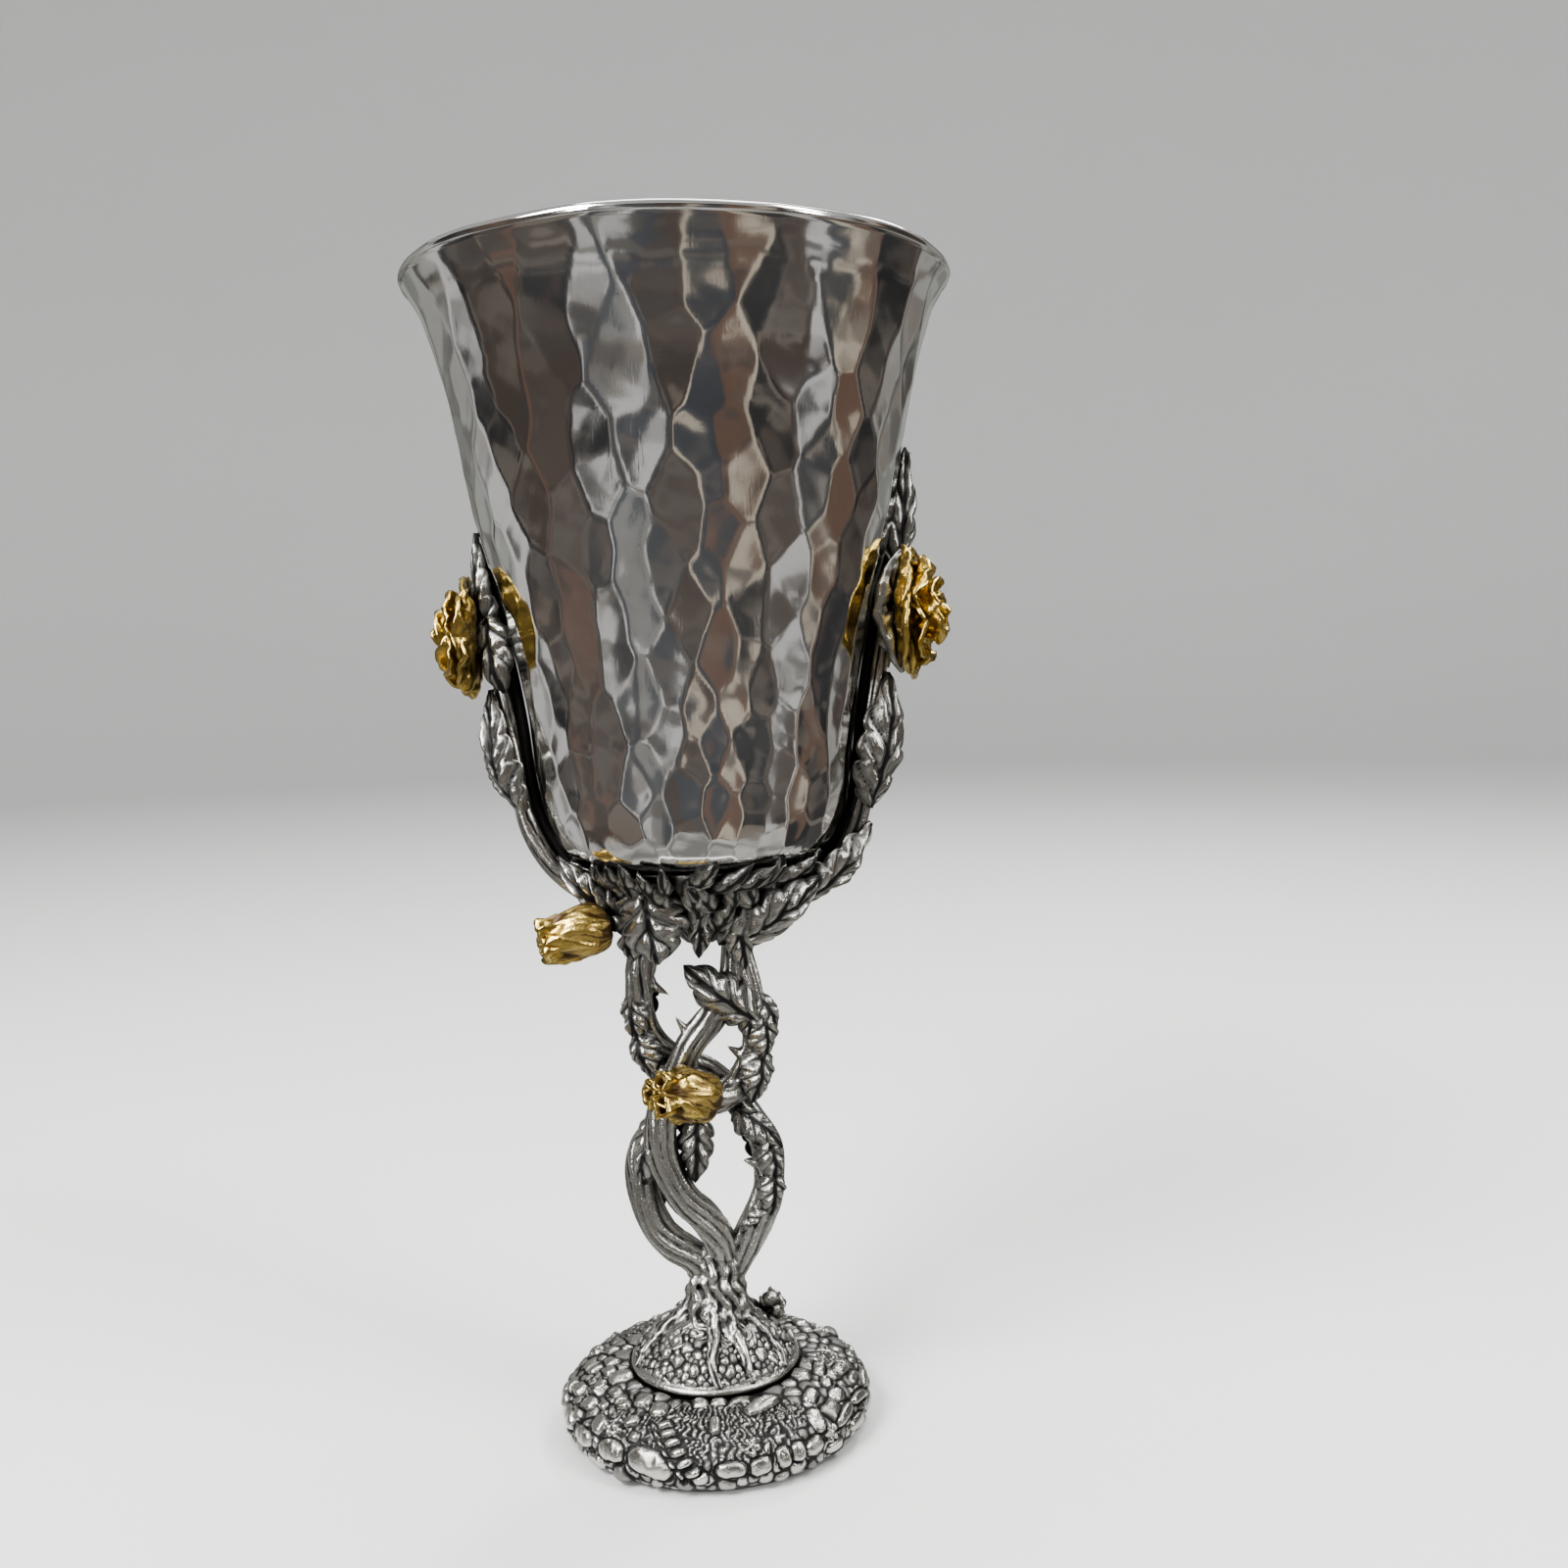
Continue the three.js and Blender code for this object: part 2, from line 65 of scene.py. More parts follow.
beaker_low, beaker_high = span("hammered_beaker")
foot_low, foot_high = span("foot")
RIM_RADIUS = (beaker_high[0] - beaker_low[0]) / 2
RIM_HEIGHT = beaker_high[2]
BEAKER_BOTTOM = beaker_low[2]
FOOT_RADIUS = (foot_high[0] - foot_low[0]) / 2
print(f"the rim is {2 * RIM_RADIUS:.1f} mm across at {RIM_HEIGHT:.1f} mm")
print(f"the foot is {2 * FOOT_RADIUS:.1f} mm across")

# %% [markdown]
# ## Noise that repeats
#
# Nothing on a cast or hammered piece is quite regular. Blender has noise textures, but the shapes
# here are moved point by point, so the noise has to be numbers. A few plane waves that cross at
# random angles give a smooth one that is quick to work out for many points at once, and a seed makes
# it come out the same each time.

# %% A smooth ripple for any set of points
WAVES = 9


def ripple(points, size, seed):
    """Smooth noise from about -1 to 1 for each point, with bumps of about that size."""
    rng = np.random.default_rng(seed)
    total = np.zeros(np.shape(points)[:-1])
    for _ in range(WAVES):
        way = rng.normal(size=3)
        way *= rng.uniform(0.6, 1.4) * TURN / size / np.linalg.norm(way)
        total += np.sin(np.asarray(points) @ way + rng.uniform(0, TURN))
    return total / 3


def smooth(low, high, value):
    """0 below low, 1 above high, and an even S between them."""
    share = np.clip((value - low) / (high - low), 0, 1)
    return share * share * (3 - 2 * share)


sample = ripple(np.linspace((0, 0, 0), (100, 0, 0), 200), 5, 1)
print(f"a ripple runs from {sample.min():.2f} to {sample.max():.2f}")

# %% [markdown]
# ## Lofting
#
# Almost every form on this cup is a stack of rings: a beaker is a stack of circles, a vine is a stack
# of circles along a curve, and even a leaf is a stack of flat slivers. So one helper skins a stack of
# rings and closes both ends. Each point also carries a number that says how deep it lies in the
# relief, and is below zero where the metal is rubbed bright. The finishes use it later to blacken the
# hollows, as a silversmith does with liver of sulphur. In a few places the same number paints light
# and shade instead: painted shade on undersides and beside the beaker, and painted highlights on a
# few faces that are lightened.

# %% Skin a stack of rings


def round_turn(sides):
    """The angles of the points on a ring, as one row."""
    return np.linspace(0, TURN, sides, endpoint=False)[None, :]


def round_ring(radius, height, turn):
    """Rings about the cup's axis, from radii and heights."""
    level = 0 * turn + 0 * height + 0 * radius
    return np.stack([radius * np.cos(turn) + level, radius * np.sin(turn) + level, height + level], -1)


def loft(rings, hollow_and_painted_light=None):
    """A closed shell over rings that have as many points each: its points, faces and hollows."""
    rings = np.asarray(rings, float)
    rows, sides = rings.shape[:2]
    hollow_and_painted_light = np.zeros((rows, sides)) if hollow_and_painted_light is None else np.broadcast_to(hollow_and_painted_light, (rows, sides))
    points = np.vstack([rings.reshape(-1, 3), rings[0].mean(0), rings[-1].mean(0)])
    depth = np.append(hollow_and_painted_light.ravel(), [hollow_and_painted_light[0].mean(), hollow_and_painted_light[-1].mean()])
    here = np.arange(sides)
    after = (here + 1) % sides
    row = np.arange(rows - 1)[:, None] * sides
    quads = np.stack([row + here, row + after, row + after + sides, row + here + sides], -1)
    quads = quads.reshape(-1, 4)
    start = rows * sides
    last = start - sides
    fans = [(start, b, a) for a, b in zip(here, after)]
    fans += [(start + 1, last + a, last + b) for a, b in zip(here, after)]
    corner = points[quads]
    inside_out = np.einsum("ij,ij->", corner[:, 0], np.cross(corner[:, 1], corner[:, 2])) < 0
    faces = quads.tolist() + [list(map(int, fan)) for fan in fans]
    return points, [face[::-1] for face in faces] if inside_out else faces, depth


def join(shells):
    """Several shells as one."""
    starts = np.cumsum([0] + [len(shell[0]) for shell in shells])
    faces = [[i + int(start) for i in face] for shell, start in zip(shells, starts) for face in shell[1]]
    depth = np.concatenate([shell[2] for shell in shells])
    return np.vstack([shell[0] for shell in shells]), faces, depth


drum = loft(round_ring(1, np.array([[0], [1]]), round_turn(8)))
print(f"a test drum has {len(drum[0])} points and {len(drum[1])} faces")

# %% [markdown]
# ## From numbers to objects
#
# A Blender mesh is made from points and faces in one call. The object then says what it belongs to:
# it rides on the cup, it stands for one of the imported solids, and it takes the material of its metal.

# %% Turn shells into an object


def put_in_scene(name, data):
    thing = bpy.data.objects.new(name, data)
    bpy.context.scene.collection.objects.link(thing)
    return thing


def mesh_of(name, shells, scale=1.0):
    points, faces, depth = join(shells)
    mesh = bpy.data.meshes.new(name)
    mesh.from_pydata((points * scale).tolist(), [], faces)
    mesh.attributes.new("hollow_and_painted_light", "FLOAT", "POINT").data.foreach_set("value", depth)
    mesh.shade_smooth()
    return mesh


def piece(name, shells, finish, slot, *nodes):
    """An object from shells in millimetres, in place on the cup and standing for those solids."""
    thing = put_in_scene(name, mesh_of(name, shells, MM))
    thing.data.materials.append(finish)
    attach(thing, "root")
    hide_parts(*nodes)
    size = np.array(thing.dimensions) / MM
    print(f"{name}: {len(thing.data.polygons)} faces, {size.round(1).tolist()} mm")
    return thing


print("the solids to dress:", sorted(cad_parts))

# %% [markdown]
# ## Curves and shafts
#
# Vines, roots and branches are round shafts along a curve. Blender's own curve objects could sweep a
# circle too, but they can't carve bark into it. So the curve is worked out here, each ring is turned
# as little as possible from the one before it, and the carving is added to each ring's radius.

# %% A smooth path and a carved shaft
POINTS_PER_KNOT = 24


def smooth_path(knots, count):
    """Evenly spaced points on a smooth curve through the knots."""
    knots = np.array(knots, float)
    knots = np.vstack([2 * knots[0] - knots[1], knots, 2 * knots[-1] - knots[-2]])
    dense = []
    for a, b, c, d in zip(knots, knots[1:], knots[2:], knots[3:]):
        steps = [math.sqrt(np.linalg.norm(q - p)) for p, q in ((a, b), (b, c), (c, d))]
        at = np.cumsum([0] + steps)
        t = np.linspace(at[1], at[2], POINTS_PER_KNOT, endpoint=False)[:, None]

        def blend(p, q, i, j):
            return ((at[j] - t) * p + (t - at[i]) * q) / (at[j] - at[i])

        low = blend(blend(a, b, 0, 1), blend(b, c, 1, 2), 0, 2)
        high = blend(blend(b, c, 1, 2), blend(c, d, 2, 3), 1, 3)
        dense.append(blend(low, high, 1, 2))
    dense = np.vstack(dense + [knots[-2:-1]])
    run = np.append(0, np.cumsum(np.linalg.norm(np.diff(dense, axis=0), axis=1)))
    even = np.linspace(0, run[-1], count)
    return np.stack([np.interp(even, run, dense[:, k]) for k in range(3)], -1)


def shaft(knots, radius, sides=16, steps=24, carve=None, carve_later=False):
    """A round shaft along the knots. radius and carve take the share of the length and the turn.

    With carve_later the shaft stays smooth and its relief is handed over as a fourth part.
    """
    straight = len(knots) == 2
    path = np.linspace(*np.array(knots, float), steps + 1) if straight else smooth_path(knots, steps + 1)
    tangent = np.gradient(path, axis=0)
    tangent /= np.linalg.norm(tangent, axis=1, keepdims=True)
    side = np.cross(tangent[0], [0.31, 0.9, 0.29])
    share = np.linspace(0, 1, steps + 1)[:, None]
    turn = round_turn(sides)
    size = np.broadcast_to(radius(share), (steps + 1, 1)) + np.zeros((1, sides))
    relief, hollow_and_painted_light = carve(share, turn) if carve else (0 * size, None)
    rings = []
    for middle, along, radii in zip(path, tangent, size + (0 if carve_later else relief)):
        side = side - along * (side @ along)
        side /= np.linalg.norm(side)
        other = np.cross(along, side)
        circle = np.outer(np.cos(turn[0]), side) + np.outer(np.sin(turn[0]), other)
        rings.append(middle + radii[:, None] * circle)
    shell = loft(rings, hollow_and_painted_light)
    return (*shell, np.append(relief.ravel(), [0, 0])) if carve_later else shell


def taper(start, end):
    """A radius that goes evenly from one end's to the other's."""
    return lambda share: start + (end - start) * share


bow = smooth_path([(0, 0, 0), (5, 5, 0), (10, 0, 0)], 50)
print(f"a test bow over 10 mm is {np.linalg.norm(np.diff(bow, axis=0), axis=1).sum():.1f} mm long")

# %% [markdown]
# ## Hollows that go black, and painted shade
#
# Antique silver is blackened all over and then polished, so the black stays only where the polishing
# cloth can't reach. Two things tell the shader where to paint black: the number on each point, for
# the carving, and ambient occlusion, which darkens the gaps between one piece and the next as painted
# shade. Both are used by every metal here, so they go into one node group that puts out a mask.

# %% Build the shared node groups


def new_group(name, inputs, outputs):
    """An empty shader node group, with its input and output nodes."""
    group = bpy.data.node_groups.new(name, "ShaderNodeTree")
    for title, default in inputs.items():
        socket = group.interface.new_socket(title, in_out="INPUT", socket_type="NodeSocketFloat")
        socket.default_value = default
    for title in outputs:
        group.interface.new_socket(title, in_out="OUTPUT", socket_type="NodeSocketFloat")
    return group, group.nodes.new("NodeGroupInput"), group.nodes.new("NodeGroupOutput")


def add(tree, kind, **settings):
    """A node of that kind. A setting whose name is an input's is that input's value."""
    node = tree.nodes.new("ShaderNode" + kind)
    for title, value in settings.items():
        if title in node.inputs:
            node.inputs[title].default_value = value
        else:
            setattr(node, title, value)
    return node


def feed(tree, socket, source):
    """Connects a socket to another one, or sets its value where the source is a number."""
    if isinstance(source, bpy.types.NodeSocket):
        tree.links.new(source, socket)
    else:
        socket.default_value = source


def maths(tree, operation, a, b=0.0, clamp=False):
    node = add(tree, "Math", operation=operation, use_clamp=clamp)
    feed(tree, node.inputs[0], a)
    feed(tree, node.inputs[1], b)
    return node.outputs[0]


def remap(tree, value, low, high, to_low=0.0, to_high=1.0):
    """Spreads the values between low and high over a new range, and clips the rest."""
    node = add(tree, "MapRange", clamp=True)
    titles = ("Value", "From Min", "From Max", "To Min", "To Max")
    for title, source in zip(titles, (value, low, high, to_low, to_high)):
        feed(tree, node.inputs[title], source)
    return node.outputs["Result"]


def noise(tree, place, scale, **settings):
    """A noise texture at that place. The scale is a number or a socket."""
    node = add(tree, "TexNoise", **settings)
    feed(tree, node.inputs["Scale"], scale)
    feed(tree, node.inputs["Vector"], place)
    return node.outputs["Fac"]


def object_place(tree):
    return add(tree, "TexCoord").outputs["Object"]


def build_blackening_and_shade():
    group, given, out = new_group(
        "blackened hollows and painted shade", {"Reach": 0.0015, "Carving": 1.0, "Painted gap shade": 1.0, "Patches": 0.3}, ["Black"]
    )
    carved = add(group, "Attribute", attribute_name="hollow_and_painted_light").outputs["Fac"]
    # Ambient occlusion darkens the gaps between one piece and the next: painted shade, added to the patina
    # of the carving.
    gap = add(group, "AmbientOcclusion", samples=6)
    feed(group, gap.inputs["Distance"], given.outputs["Reach"])
    shade = remap(group, gap.outputs["AO"], 0.82, 0.3)
    cloud = noise(group, object_place(group), 420.0, Detail=3.0)
    patch = maths(group, "MULTIPLY", maths(group, "SUBTRACT", cloud, 0.5), given.outputs["Patches"])
    total = maths(group, "MULTIPLY", carved, given.outputs["Carving"])
    total = maths(group, "ADD", total, maths(group, "MULTIPLY", shade, given.outputs["Painted gap shade"]))
    feed(group, out.inputs["Black"], maths(group, "ADD", total, patch, clamp=True))
    return group


def build_scratches():
    group, given, out = new_group("polishing scratches", {"Fineness": 900.0}, ["Height", "Dullness"])
    place = object_place(group)
    heights = []
    for tilt in (0.5, -0.9):
        turned = add(group, "Mapping")
        turned.inputs["Rotation"].default_value = (0.3, tilt, tilt)
        turned.inputs["Scale"].default_value = (1, 0.02, 0.2)
        feed(group, turned.inputs["Vector"], place)
        lines = noise(group, turned.outputs["Vector"], given.outputs["Fineness"], Detail=2.0, Roughness=0.7)
        heights.append(remap(group, lines, 0.6, 0.72))
    feed(group, out.inputs["Height"], maths(group, "MAXIMUM", *heights))
    feed(group, out.inputs["Dullness"], remap(group, noise(group, place, 60.0, Detail=4.0), 0.4, 0.7))
    return group


def build_worn_edges():
    group, given, out = new_group("worn edges", {"Sharpness": 1.0}, ["Worn"])
    bent = add(group, "NewGeometry").outputs["Pointiness"]
    edge = remap(group, bent, 0.54, 0.66)
    feed(group, out.inputs["Worn"], maths(group, "MULTIPLY", edge, given.outputs["Sharpness"], clamp=True))
    return group


def build_cast_grain():
    group, given, out = new_group("cast grain", {"Grain": 2600.0, "Pits": 1.0}, ["Height"])
    place = object_place(group)
    fine = noise(group, place, given.outputs["Grain"], Detail=4.0, Roughness=0.65)
    pits = add(group, "TexVoronoi", Scale=1500.0)
    feed(group, pits.inputs["Vector"], place)
    unpitted = maths(group, "SUBTRACT", 1.0, given.outputs["Pits"])
    pitted = remap(group, pits.outputs["Distance"], 0.0, 0.25, unpitted, 1.0)
    feed(group, out.inputs["Height"], maths(group, "MULTIPLY", fine, pitted))
    return group


BLACKENING_AND_SHADE = build_blackening_and_shade()
SCRATCHES = build_scratches()
WORN_EDGES = build_worn_edges()
CAST_GRAIN = build_cast_grain()
print("shared groups:", [group.name for group in (BLACKENING_AND_SHADE, SCRATCHES, WORN_EDGES, CAST_GRAIN)])

# %% [markdown]
# ## The three metals
#
# Polished silver, antique silver and gold differ in colour, in how much black they keep and in how
# fine their polish is, but they are built alike: a bright metal, a dark one for the hollows and for
# the painted shade in the gaps, a mask that chooses between them, and a bump for the surface. One
# function builds all three from those few facts. The Principled shader itself stays in each material.

# %% Mix the metals


def use(tree, group, **values):
    node = tree.nodes.new("ShaderNodeGroup")
    node.node_tree = group
    for title, value in values.items():
        node.inputs[title].default_value = value
    return node


def mix_colour(tree, share, a, b):
    node = add(tree, "Mix", data_type="RGBA")
    feed(tree, node.inputs["Factor"], share)
    for socket, colour in ((node.inputs[6], a), (node.inputs[7], b)):
        feed(tree, socket, colour if isinstance(colour, bpy.types.NodeSocket) else (*colour, 1))
    return node.outputs[2]


def new_material(name):
    """A material, its node tree and its Principled shader."""
    material = bpy.data.materials.new(name)
    material.use_nodes = True
    return material, material.node_tree, material.node_tree.nodes["Principled BSDF"]


KEPT_ON_EDGES = 0.3  # how much of the black stays on an edge that is worn bright
# The black stands for the patina and for the painted shade in the gaps alike.
BLACK_METALLIC = 0.35  # the black is a crust more than a metal


def metal(name, bright, tint, black, polish, dull, blackening, grain, pits, scratch_depth, grain_depth,
          shine=1.0):
    """A metal that is bright on its heights, and dark in its hollows and in the painted shade of its gaps.

    bright, tint and black are colours; polish and dull are the roughness on the heights and in the
    hollows; blackening holds the values of the shared group; grain and pits are the cast grain's; the
    depths are in metres; shine is how metallic the heights are.
    """
    material, tree, shader = new_material(name)
    hollows_and_shade = use(tree, BLACKENING_AND_SHADE, **blackening).outputs["Black"]
    worn = use(tree, WORN_EDGES).outputs["Worn"]
    rubbed = maths(tree, "MULTIPLY", worn, 1 - KEPT_ON_EDGES)
    dark = maths(tree, "MULTIPLY", hollows_and_shade, maths(tree, "SUBTRACT", 1.0, rubbed))
    scratches = use(tree, SCRATCHES)
    heights = mix_colour(tree, scratches.outputs["Dullness"], bright, tint)
    feed(tree, shader.inputs["Base Color"], mix_colour(tree, dark, heights, black))
    smear = maths(tree, "MULTIPLY", scratches.outputs["Dullness"], 0.35 * polish)
    finish = maths(tree, "ADD", smear, polish)
    feed(tree, shader.inputs["Roughness"], remap(tree, dark, 0, 1, finish, dull))
    feed(tree, shader.inputs["Metallic"], remap(tree, dark, 0.3, 1, shine, BLACK_METALLIC))
    surface = add(tree, "Bump", Distance=grain_depth)
    feed(tree, surface.inputs["Height"], use(tree, CAST_GRAIN, Grain=grain, Pits=pits).outputs["Height"])
    lines = add(tree, "Bump", Distance=scratch_depth, invert=True)
    feed(tree, lines.inputs["Height"], scratches.outputs["Height"])
    feed(tree, lines.inputs["Normal"], surface.outputs["Normal"])
    feed(tree, shader.inputs["Normal"], lines.outputs["Normal"])
    return material


# The beaker keeps no patina: its only black is painted shade, from ambient occlusion where the branches and
# the crown come close to its wall.
HAMMERED_SILVER = metal(
    "polished hammered silver", (0.83, 0.82, 0.80), (0.74, 0.72, 0.69), (0.16, 0.14, 0.12),
    polish=0.085, dull=0.3, blackening={"Reach": 0.003, "Carving": 0.0, "Painted gap shade": 0.8, "Patches": 0.0},
    grain=300.0, pits=0.0, scratch_depth=0.0000015, grain_depth=0.000008,
)
# On the castings, ambient occlusion adds painted shade in the gaps to the patina of the carving.
ANTIQUE_SILVER = metal(
    "antique cast silver", (0.58, 0.57, 0.535), (0.38, 0.37, 0.345), (0.008, 0.0075, 0.007),
    polish=0.14, dull=0.45, blackening={"Reach": 0.0018, "Carving": 1.0, "Painted gap shade": 1.1, "Patches": 0.5},
    grain=2600.0, pits=1.0, scratch_depth=0.00001, grain_depth=0.00008, shine=0.97,
)
GOLD = metal(
    "gilding", (0.81, 0.60, 0.20), (0.64, 0.48, 0.17), (0.06, 0.03, 0.007),
    polish=0.13, dull=0.4, blackening={"Reach": 0.0016, "Carving": 1.0, "Painted gap shade": 1.1, "Patches": 0.7},
    grain=2200.0, pits=1.0, scratch_depth=0.00001, grain_depth=0.00006,
)
print("metals:", [finish.name for finish in (HAMMERED_SILVER, ANTIQUE_SILVER, GOLD)])

# %% [markdown]
# ## The beaker
#
# The beaker was raised from one disc of silver and then planished: a smith walked round it with a
# polished hammer and left a shallow dish with every blow. Where two dishes meet there is a sharp
# ridge. A bump map can't do this, because each dish mirrors its own small piece of the room, so the
# dishes are real geometry.
#
# Every blow is a shallow bowl in the wall, and the wall is the lowest bowl at each point. The blows
# stand in columns, and every second row is shifted by half a column, so that the dishes become long
# diamonds. They are small round the bottom and long under the rim.

# %% The wall's outline
WALL_OUTLINE = [
    (14.5, BEAKER_BOTTOM), (18.6, 85.7), (21.1, 90), (22.3, 96), (23.7, 108), (26.2, 120.4),
    (29.1, 132), (31.4, 145), (33.2, 153.4), (35.4, 160.4), (RIM_RADIUS, RIM_HEIGHT),
]
WALL = 1.2


def wall_outline(count):
    """Radius and height at evenly spaced places up the wall."""
    return smooth_path([(radius, 0, height) for radius, height in WALL_OUTLINE], count)[:, [0, 2]]


print(f"the wall rises from {2 * WALL_OUTLINE[0][0]:.0f} mm across, and is {WALL} mm thick")

# %% Place the hammer blows and carve the wall
BLOW_COLUMNS = 30
DISH = 0.92  # depth of a dish in millimetres at one column's distance from the blow
ROW_GAP = 0.56  # from one row of blows to the next, measured in columns
RIDGE = 0.09  # how wide the worn top of a ridge is, in the same measure as a dish's depth


def blow_rows():
    """The heights of the rows of blows, as shares of the way up the wall: closer at the bottom."""
    steps = [0.034] * 4 + [0.046] * 3 + [0.06] * 9 + [0.08, 0.1]
    rows = np.cumsum(steps) - steps[0]
    return rows / rows[-1]


def hammered_relief(share, turn):
    """How far the wall stands out at each place."""
    rng = np.random.default_rng(11)
    rows = blow_rows()
    v = np.interp(share, rows, np.arange(len(rows))) * ROW_GAP
    u = turn / TURN * BLOW_COLUMNS
    first = np.full(np.broadcast_shapes(u.shape, v.shape), np.inf)
    second = first.copy()
    for number in range(-1, len(rows) + 1):
        sway = 0.22 * rng.normal(size=BLOW_COLUMNS)
        lift = 0.1 * rng.normal(size=BLOW_COLUMNS)
        tilt = rng.normal(size=(BLOW_COLUMNS, 2)) * 0.13
        sunk = rng.normal(size=BLOW_COLUMNS) * 0.035
        for column in range(BLOW_COLUMNS):
            away = (u - column - 0.5 * (number % 2) - sway[column] + BLOW_COLUMNS / 2) % BLOW_COLUMNS
            away = away - BLOW_COLUMNS / 2
            up = v - ROW_GAP * number - lift[column]
            near = DISH * (away**2 + 0.8 * up**2)
            near = near + tilt[column, 0] * away + tilt[column, 1] * up + sunk[column]
            second = np.minimum(second, np.maximum(first, near))
            first = np.minimum(first, near)
    ridge = np.clip(1 - (second - first) / RIDGE, 0, 1)
    return first - RIDGE / 4 * ridge**2 - 0.16


print("blows:", BLOW_COLUMNS * len(blow_rows()))

# %% Raise the beaker
ROLLED_RIM = [  # how far out and up from the top of the wall
    (0.05, 0.03), (0.22, 0.1), (0.3, 0.3), (0.28, 0.6), (0.16, 0.95), (-0.1, 1.18), (-0.45, 1.2),
    (-0.75, 1.0), (-0.85, 0.6),
]


def make_beaker():
    outer_rows, inner_rows = 156, 26
    turn = round_turn(400)
    share = np.linspace(0, 1, outer_rows)[:, None]
    outline = wall_outline(outer_rows)
    outline[:, 1] = np.minimum(outline[:, 1], BEAKER_BOTTOM + (outline[:, 1] - BEAKER_BOTTOM) * 0.985)
    outline[:, 0] -= 0.35 * smooth(0.9, 1, share[:, 0])
    relief = hammered_relief(share, turn)
    place = round_ring(outline[:, :1], outline[:, 1:], turn)
    fade = smooth(0, 0.03, share) * (1 - 0.7 * smooth(0.96, 1, share))
    radius = outline[:, :1] + (relief + 0.008 * ripple(place, 3.2, 12)) * fade
    sway = 0.1 * ripple(round_ring(20, 0, turn), 12, 3)
    height = outline[:, 1:] + sway * smooth(0.97, 1, share)
    outer = round_ring(radius, height, turn)
    lip = [round_ring(radius[-1:] + out, height[-1:] + up, turn) for out, up in ROLLED_RIM]
    inner = wall_outline(inner_rows + 2)[::-1]
    inside = [round_ring(r - WALL, max(z, BEAKER_BOTTOM + WALL), turn) for r, z in inner[1:]]
    inside += [round_ring(r, BEAKER_BOTTOM + WALL, turn) for r in (9, 4)]
    under = [round_ring(r, BEAKER_BOTTOM, turn) for r in (4, 9)]
    return [loft(np.concatenate(under + [outer] + lip + inside))]


piece("hammered_cup", make_beaker(), HAMMERED_SILVER, "hammered_silver", "hammered_beaker")

# %% [markdown]
# ## A rose leaf
#
# The bush's leaves are what catches the light. Each is thin, toothed along its edge, grooved along
# its midrib and side veins, and puffed up between them. A leaf could be a flat shape cut from an
# image, but from the side it would vanish. Here it is lofted from its stalk to its tip, one thin
# cross-section after another, and the same sums that place a side vein place the tooth it runs to.

# %% Loft one leaf
LEAF_OUTLINE = [
    (0, 0.1), (0.06, 0.5), (0.2, 0.9), (0.4, 1.03), (0.6, 0.9), (0.8, 0.6), (0.93, 0.28), (1, 0.02),
]


def aimed(points, stalk, tip, out):
    """Points whose Y runs along the leaf and whose Z faces out, put in place on the cup."""
    stalk, tip, out = (np.array(p, float) for p in (stalk, tip, out))
    along = (tip - stalk) / np.linalg.norm(tip - stalk)
    across = np.cross(along, out)
    across /= np.linalg.norm(across)
    return stalk + points @ np.array([across, along, np.cross(across, along)])


def leaf(stalk, tip, out, width, arch=0.14, teeth=5, seed=0, rows=46, columns=27, wrap=0.95, puff=0.75):
    """A veined leaf from its stalk to its tip, arched by that share of its length.

    wrap is the angle that each half bends back round its vine, and puff the swelling between veins.
    """
    length = math.dist(stalk, tip)
    t = np.linspace(0, 1, rows)[:, None]
    s = np.linspace(-1, 1, columns)[None, :]
    s = np.sign(s) * np.abs(s) ** 1.35  # closer columns at the midrib
    edge, half_side = np.abs(s), (s > 0).astype(int)
    outline = np.interp(t, *np.array(LEAF_OUTLINE).T)
    place = t * teeth + 0.4 * half_side + 0.31 * seed
    lobe = 0.22 * (np.abs(np.sin(math.pi * place)) ** 0.7 - 0.6) + 0.14 * (place % 1 - 0.5)
    half = width / 2 * outline * (1 + lobe * smooth(0.03, 0.15, t))
    cell = place - 0.3 * teeth * (edge - 1)
    uneven = 1 + 0.4 * np.sin(2.7 * np.floor(cell) + 1.9 * half_side + seed)
    vein = np.abs(np.sin(math.pi * cell)) ** 0.6
    midrib = 1 - np.exp(-((edge * half / 0.5) ** 2))
    swell = vein * midrib * (1 - edge**6)
    ridge = arch * length * np.sin(math.pi * t)
    thick = 1.8 - t  # thinner towards the tip
    bend = wrap * s
    x = half * np.sin(bend) / wrap
    y = length * t + 0 * s
    back = half * (1 - np.cos(bend)) / wrap
    flat = np.stack([x + 9 * seed, y, 0 * x], -1)
    crumple = 0.3 * ripple(flat, 4.5, seed) + 0.1 * ripple(flat, 1.6, seed + 7)
    size = min(1.0, width / 5)
    relief = puff * (swell * uneven - 0.5) * smooth(0, 0.1, t) + crumple
    top = ridge - back + 0.4 * thick * (1 - edge) + size * relief
    below = ridge - back - 0.6 * thick * (1 - edge) + size * (crumple - 0.5 * puff) - 0.3
    up_face = np.stack([x, y, top], -1)
    down_face = np.stack([x, y, below], -1)[:, ::-1]
    creases = 1.7 * np.clip(0.75 - swell, 0, 1) * (edge < 0.97)
    # The underside is painted black: painted shade under the leaf, which also darkens its reflection in the
    # beaker. The creases on top are patina.
    hollow_and_painted_light = np.concatenate([creases, np.full((rows, columns - 2), 1.2)], 1)
    points, faces, depth = loft(np.concatenate([up_face, down_face[:, 1:-1]], 1), hollow_and_painted_light)
    return aimed(points, stalk, tip, out), faces, depth


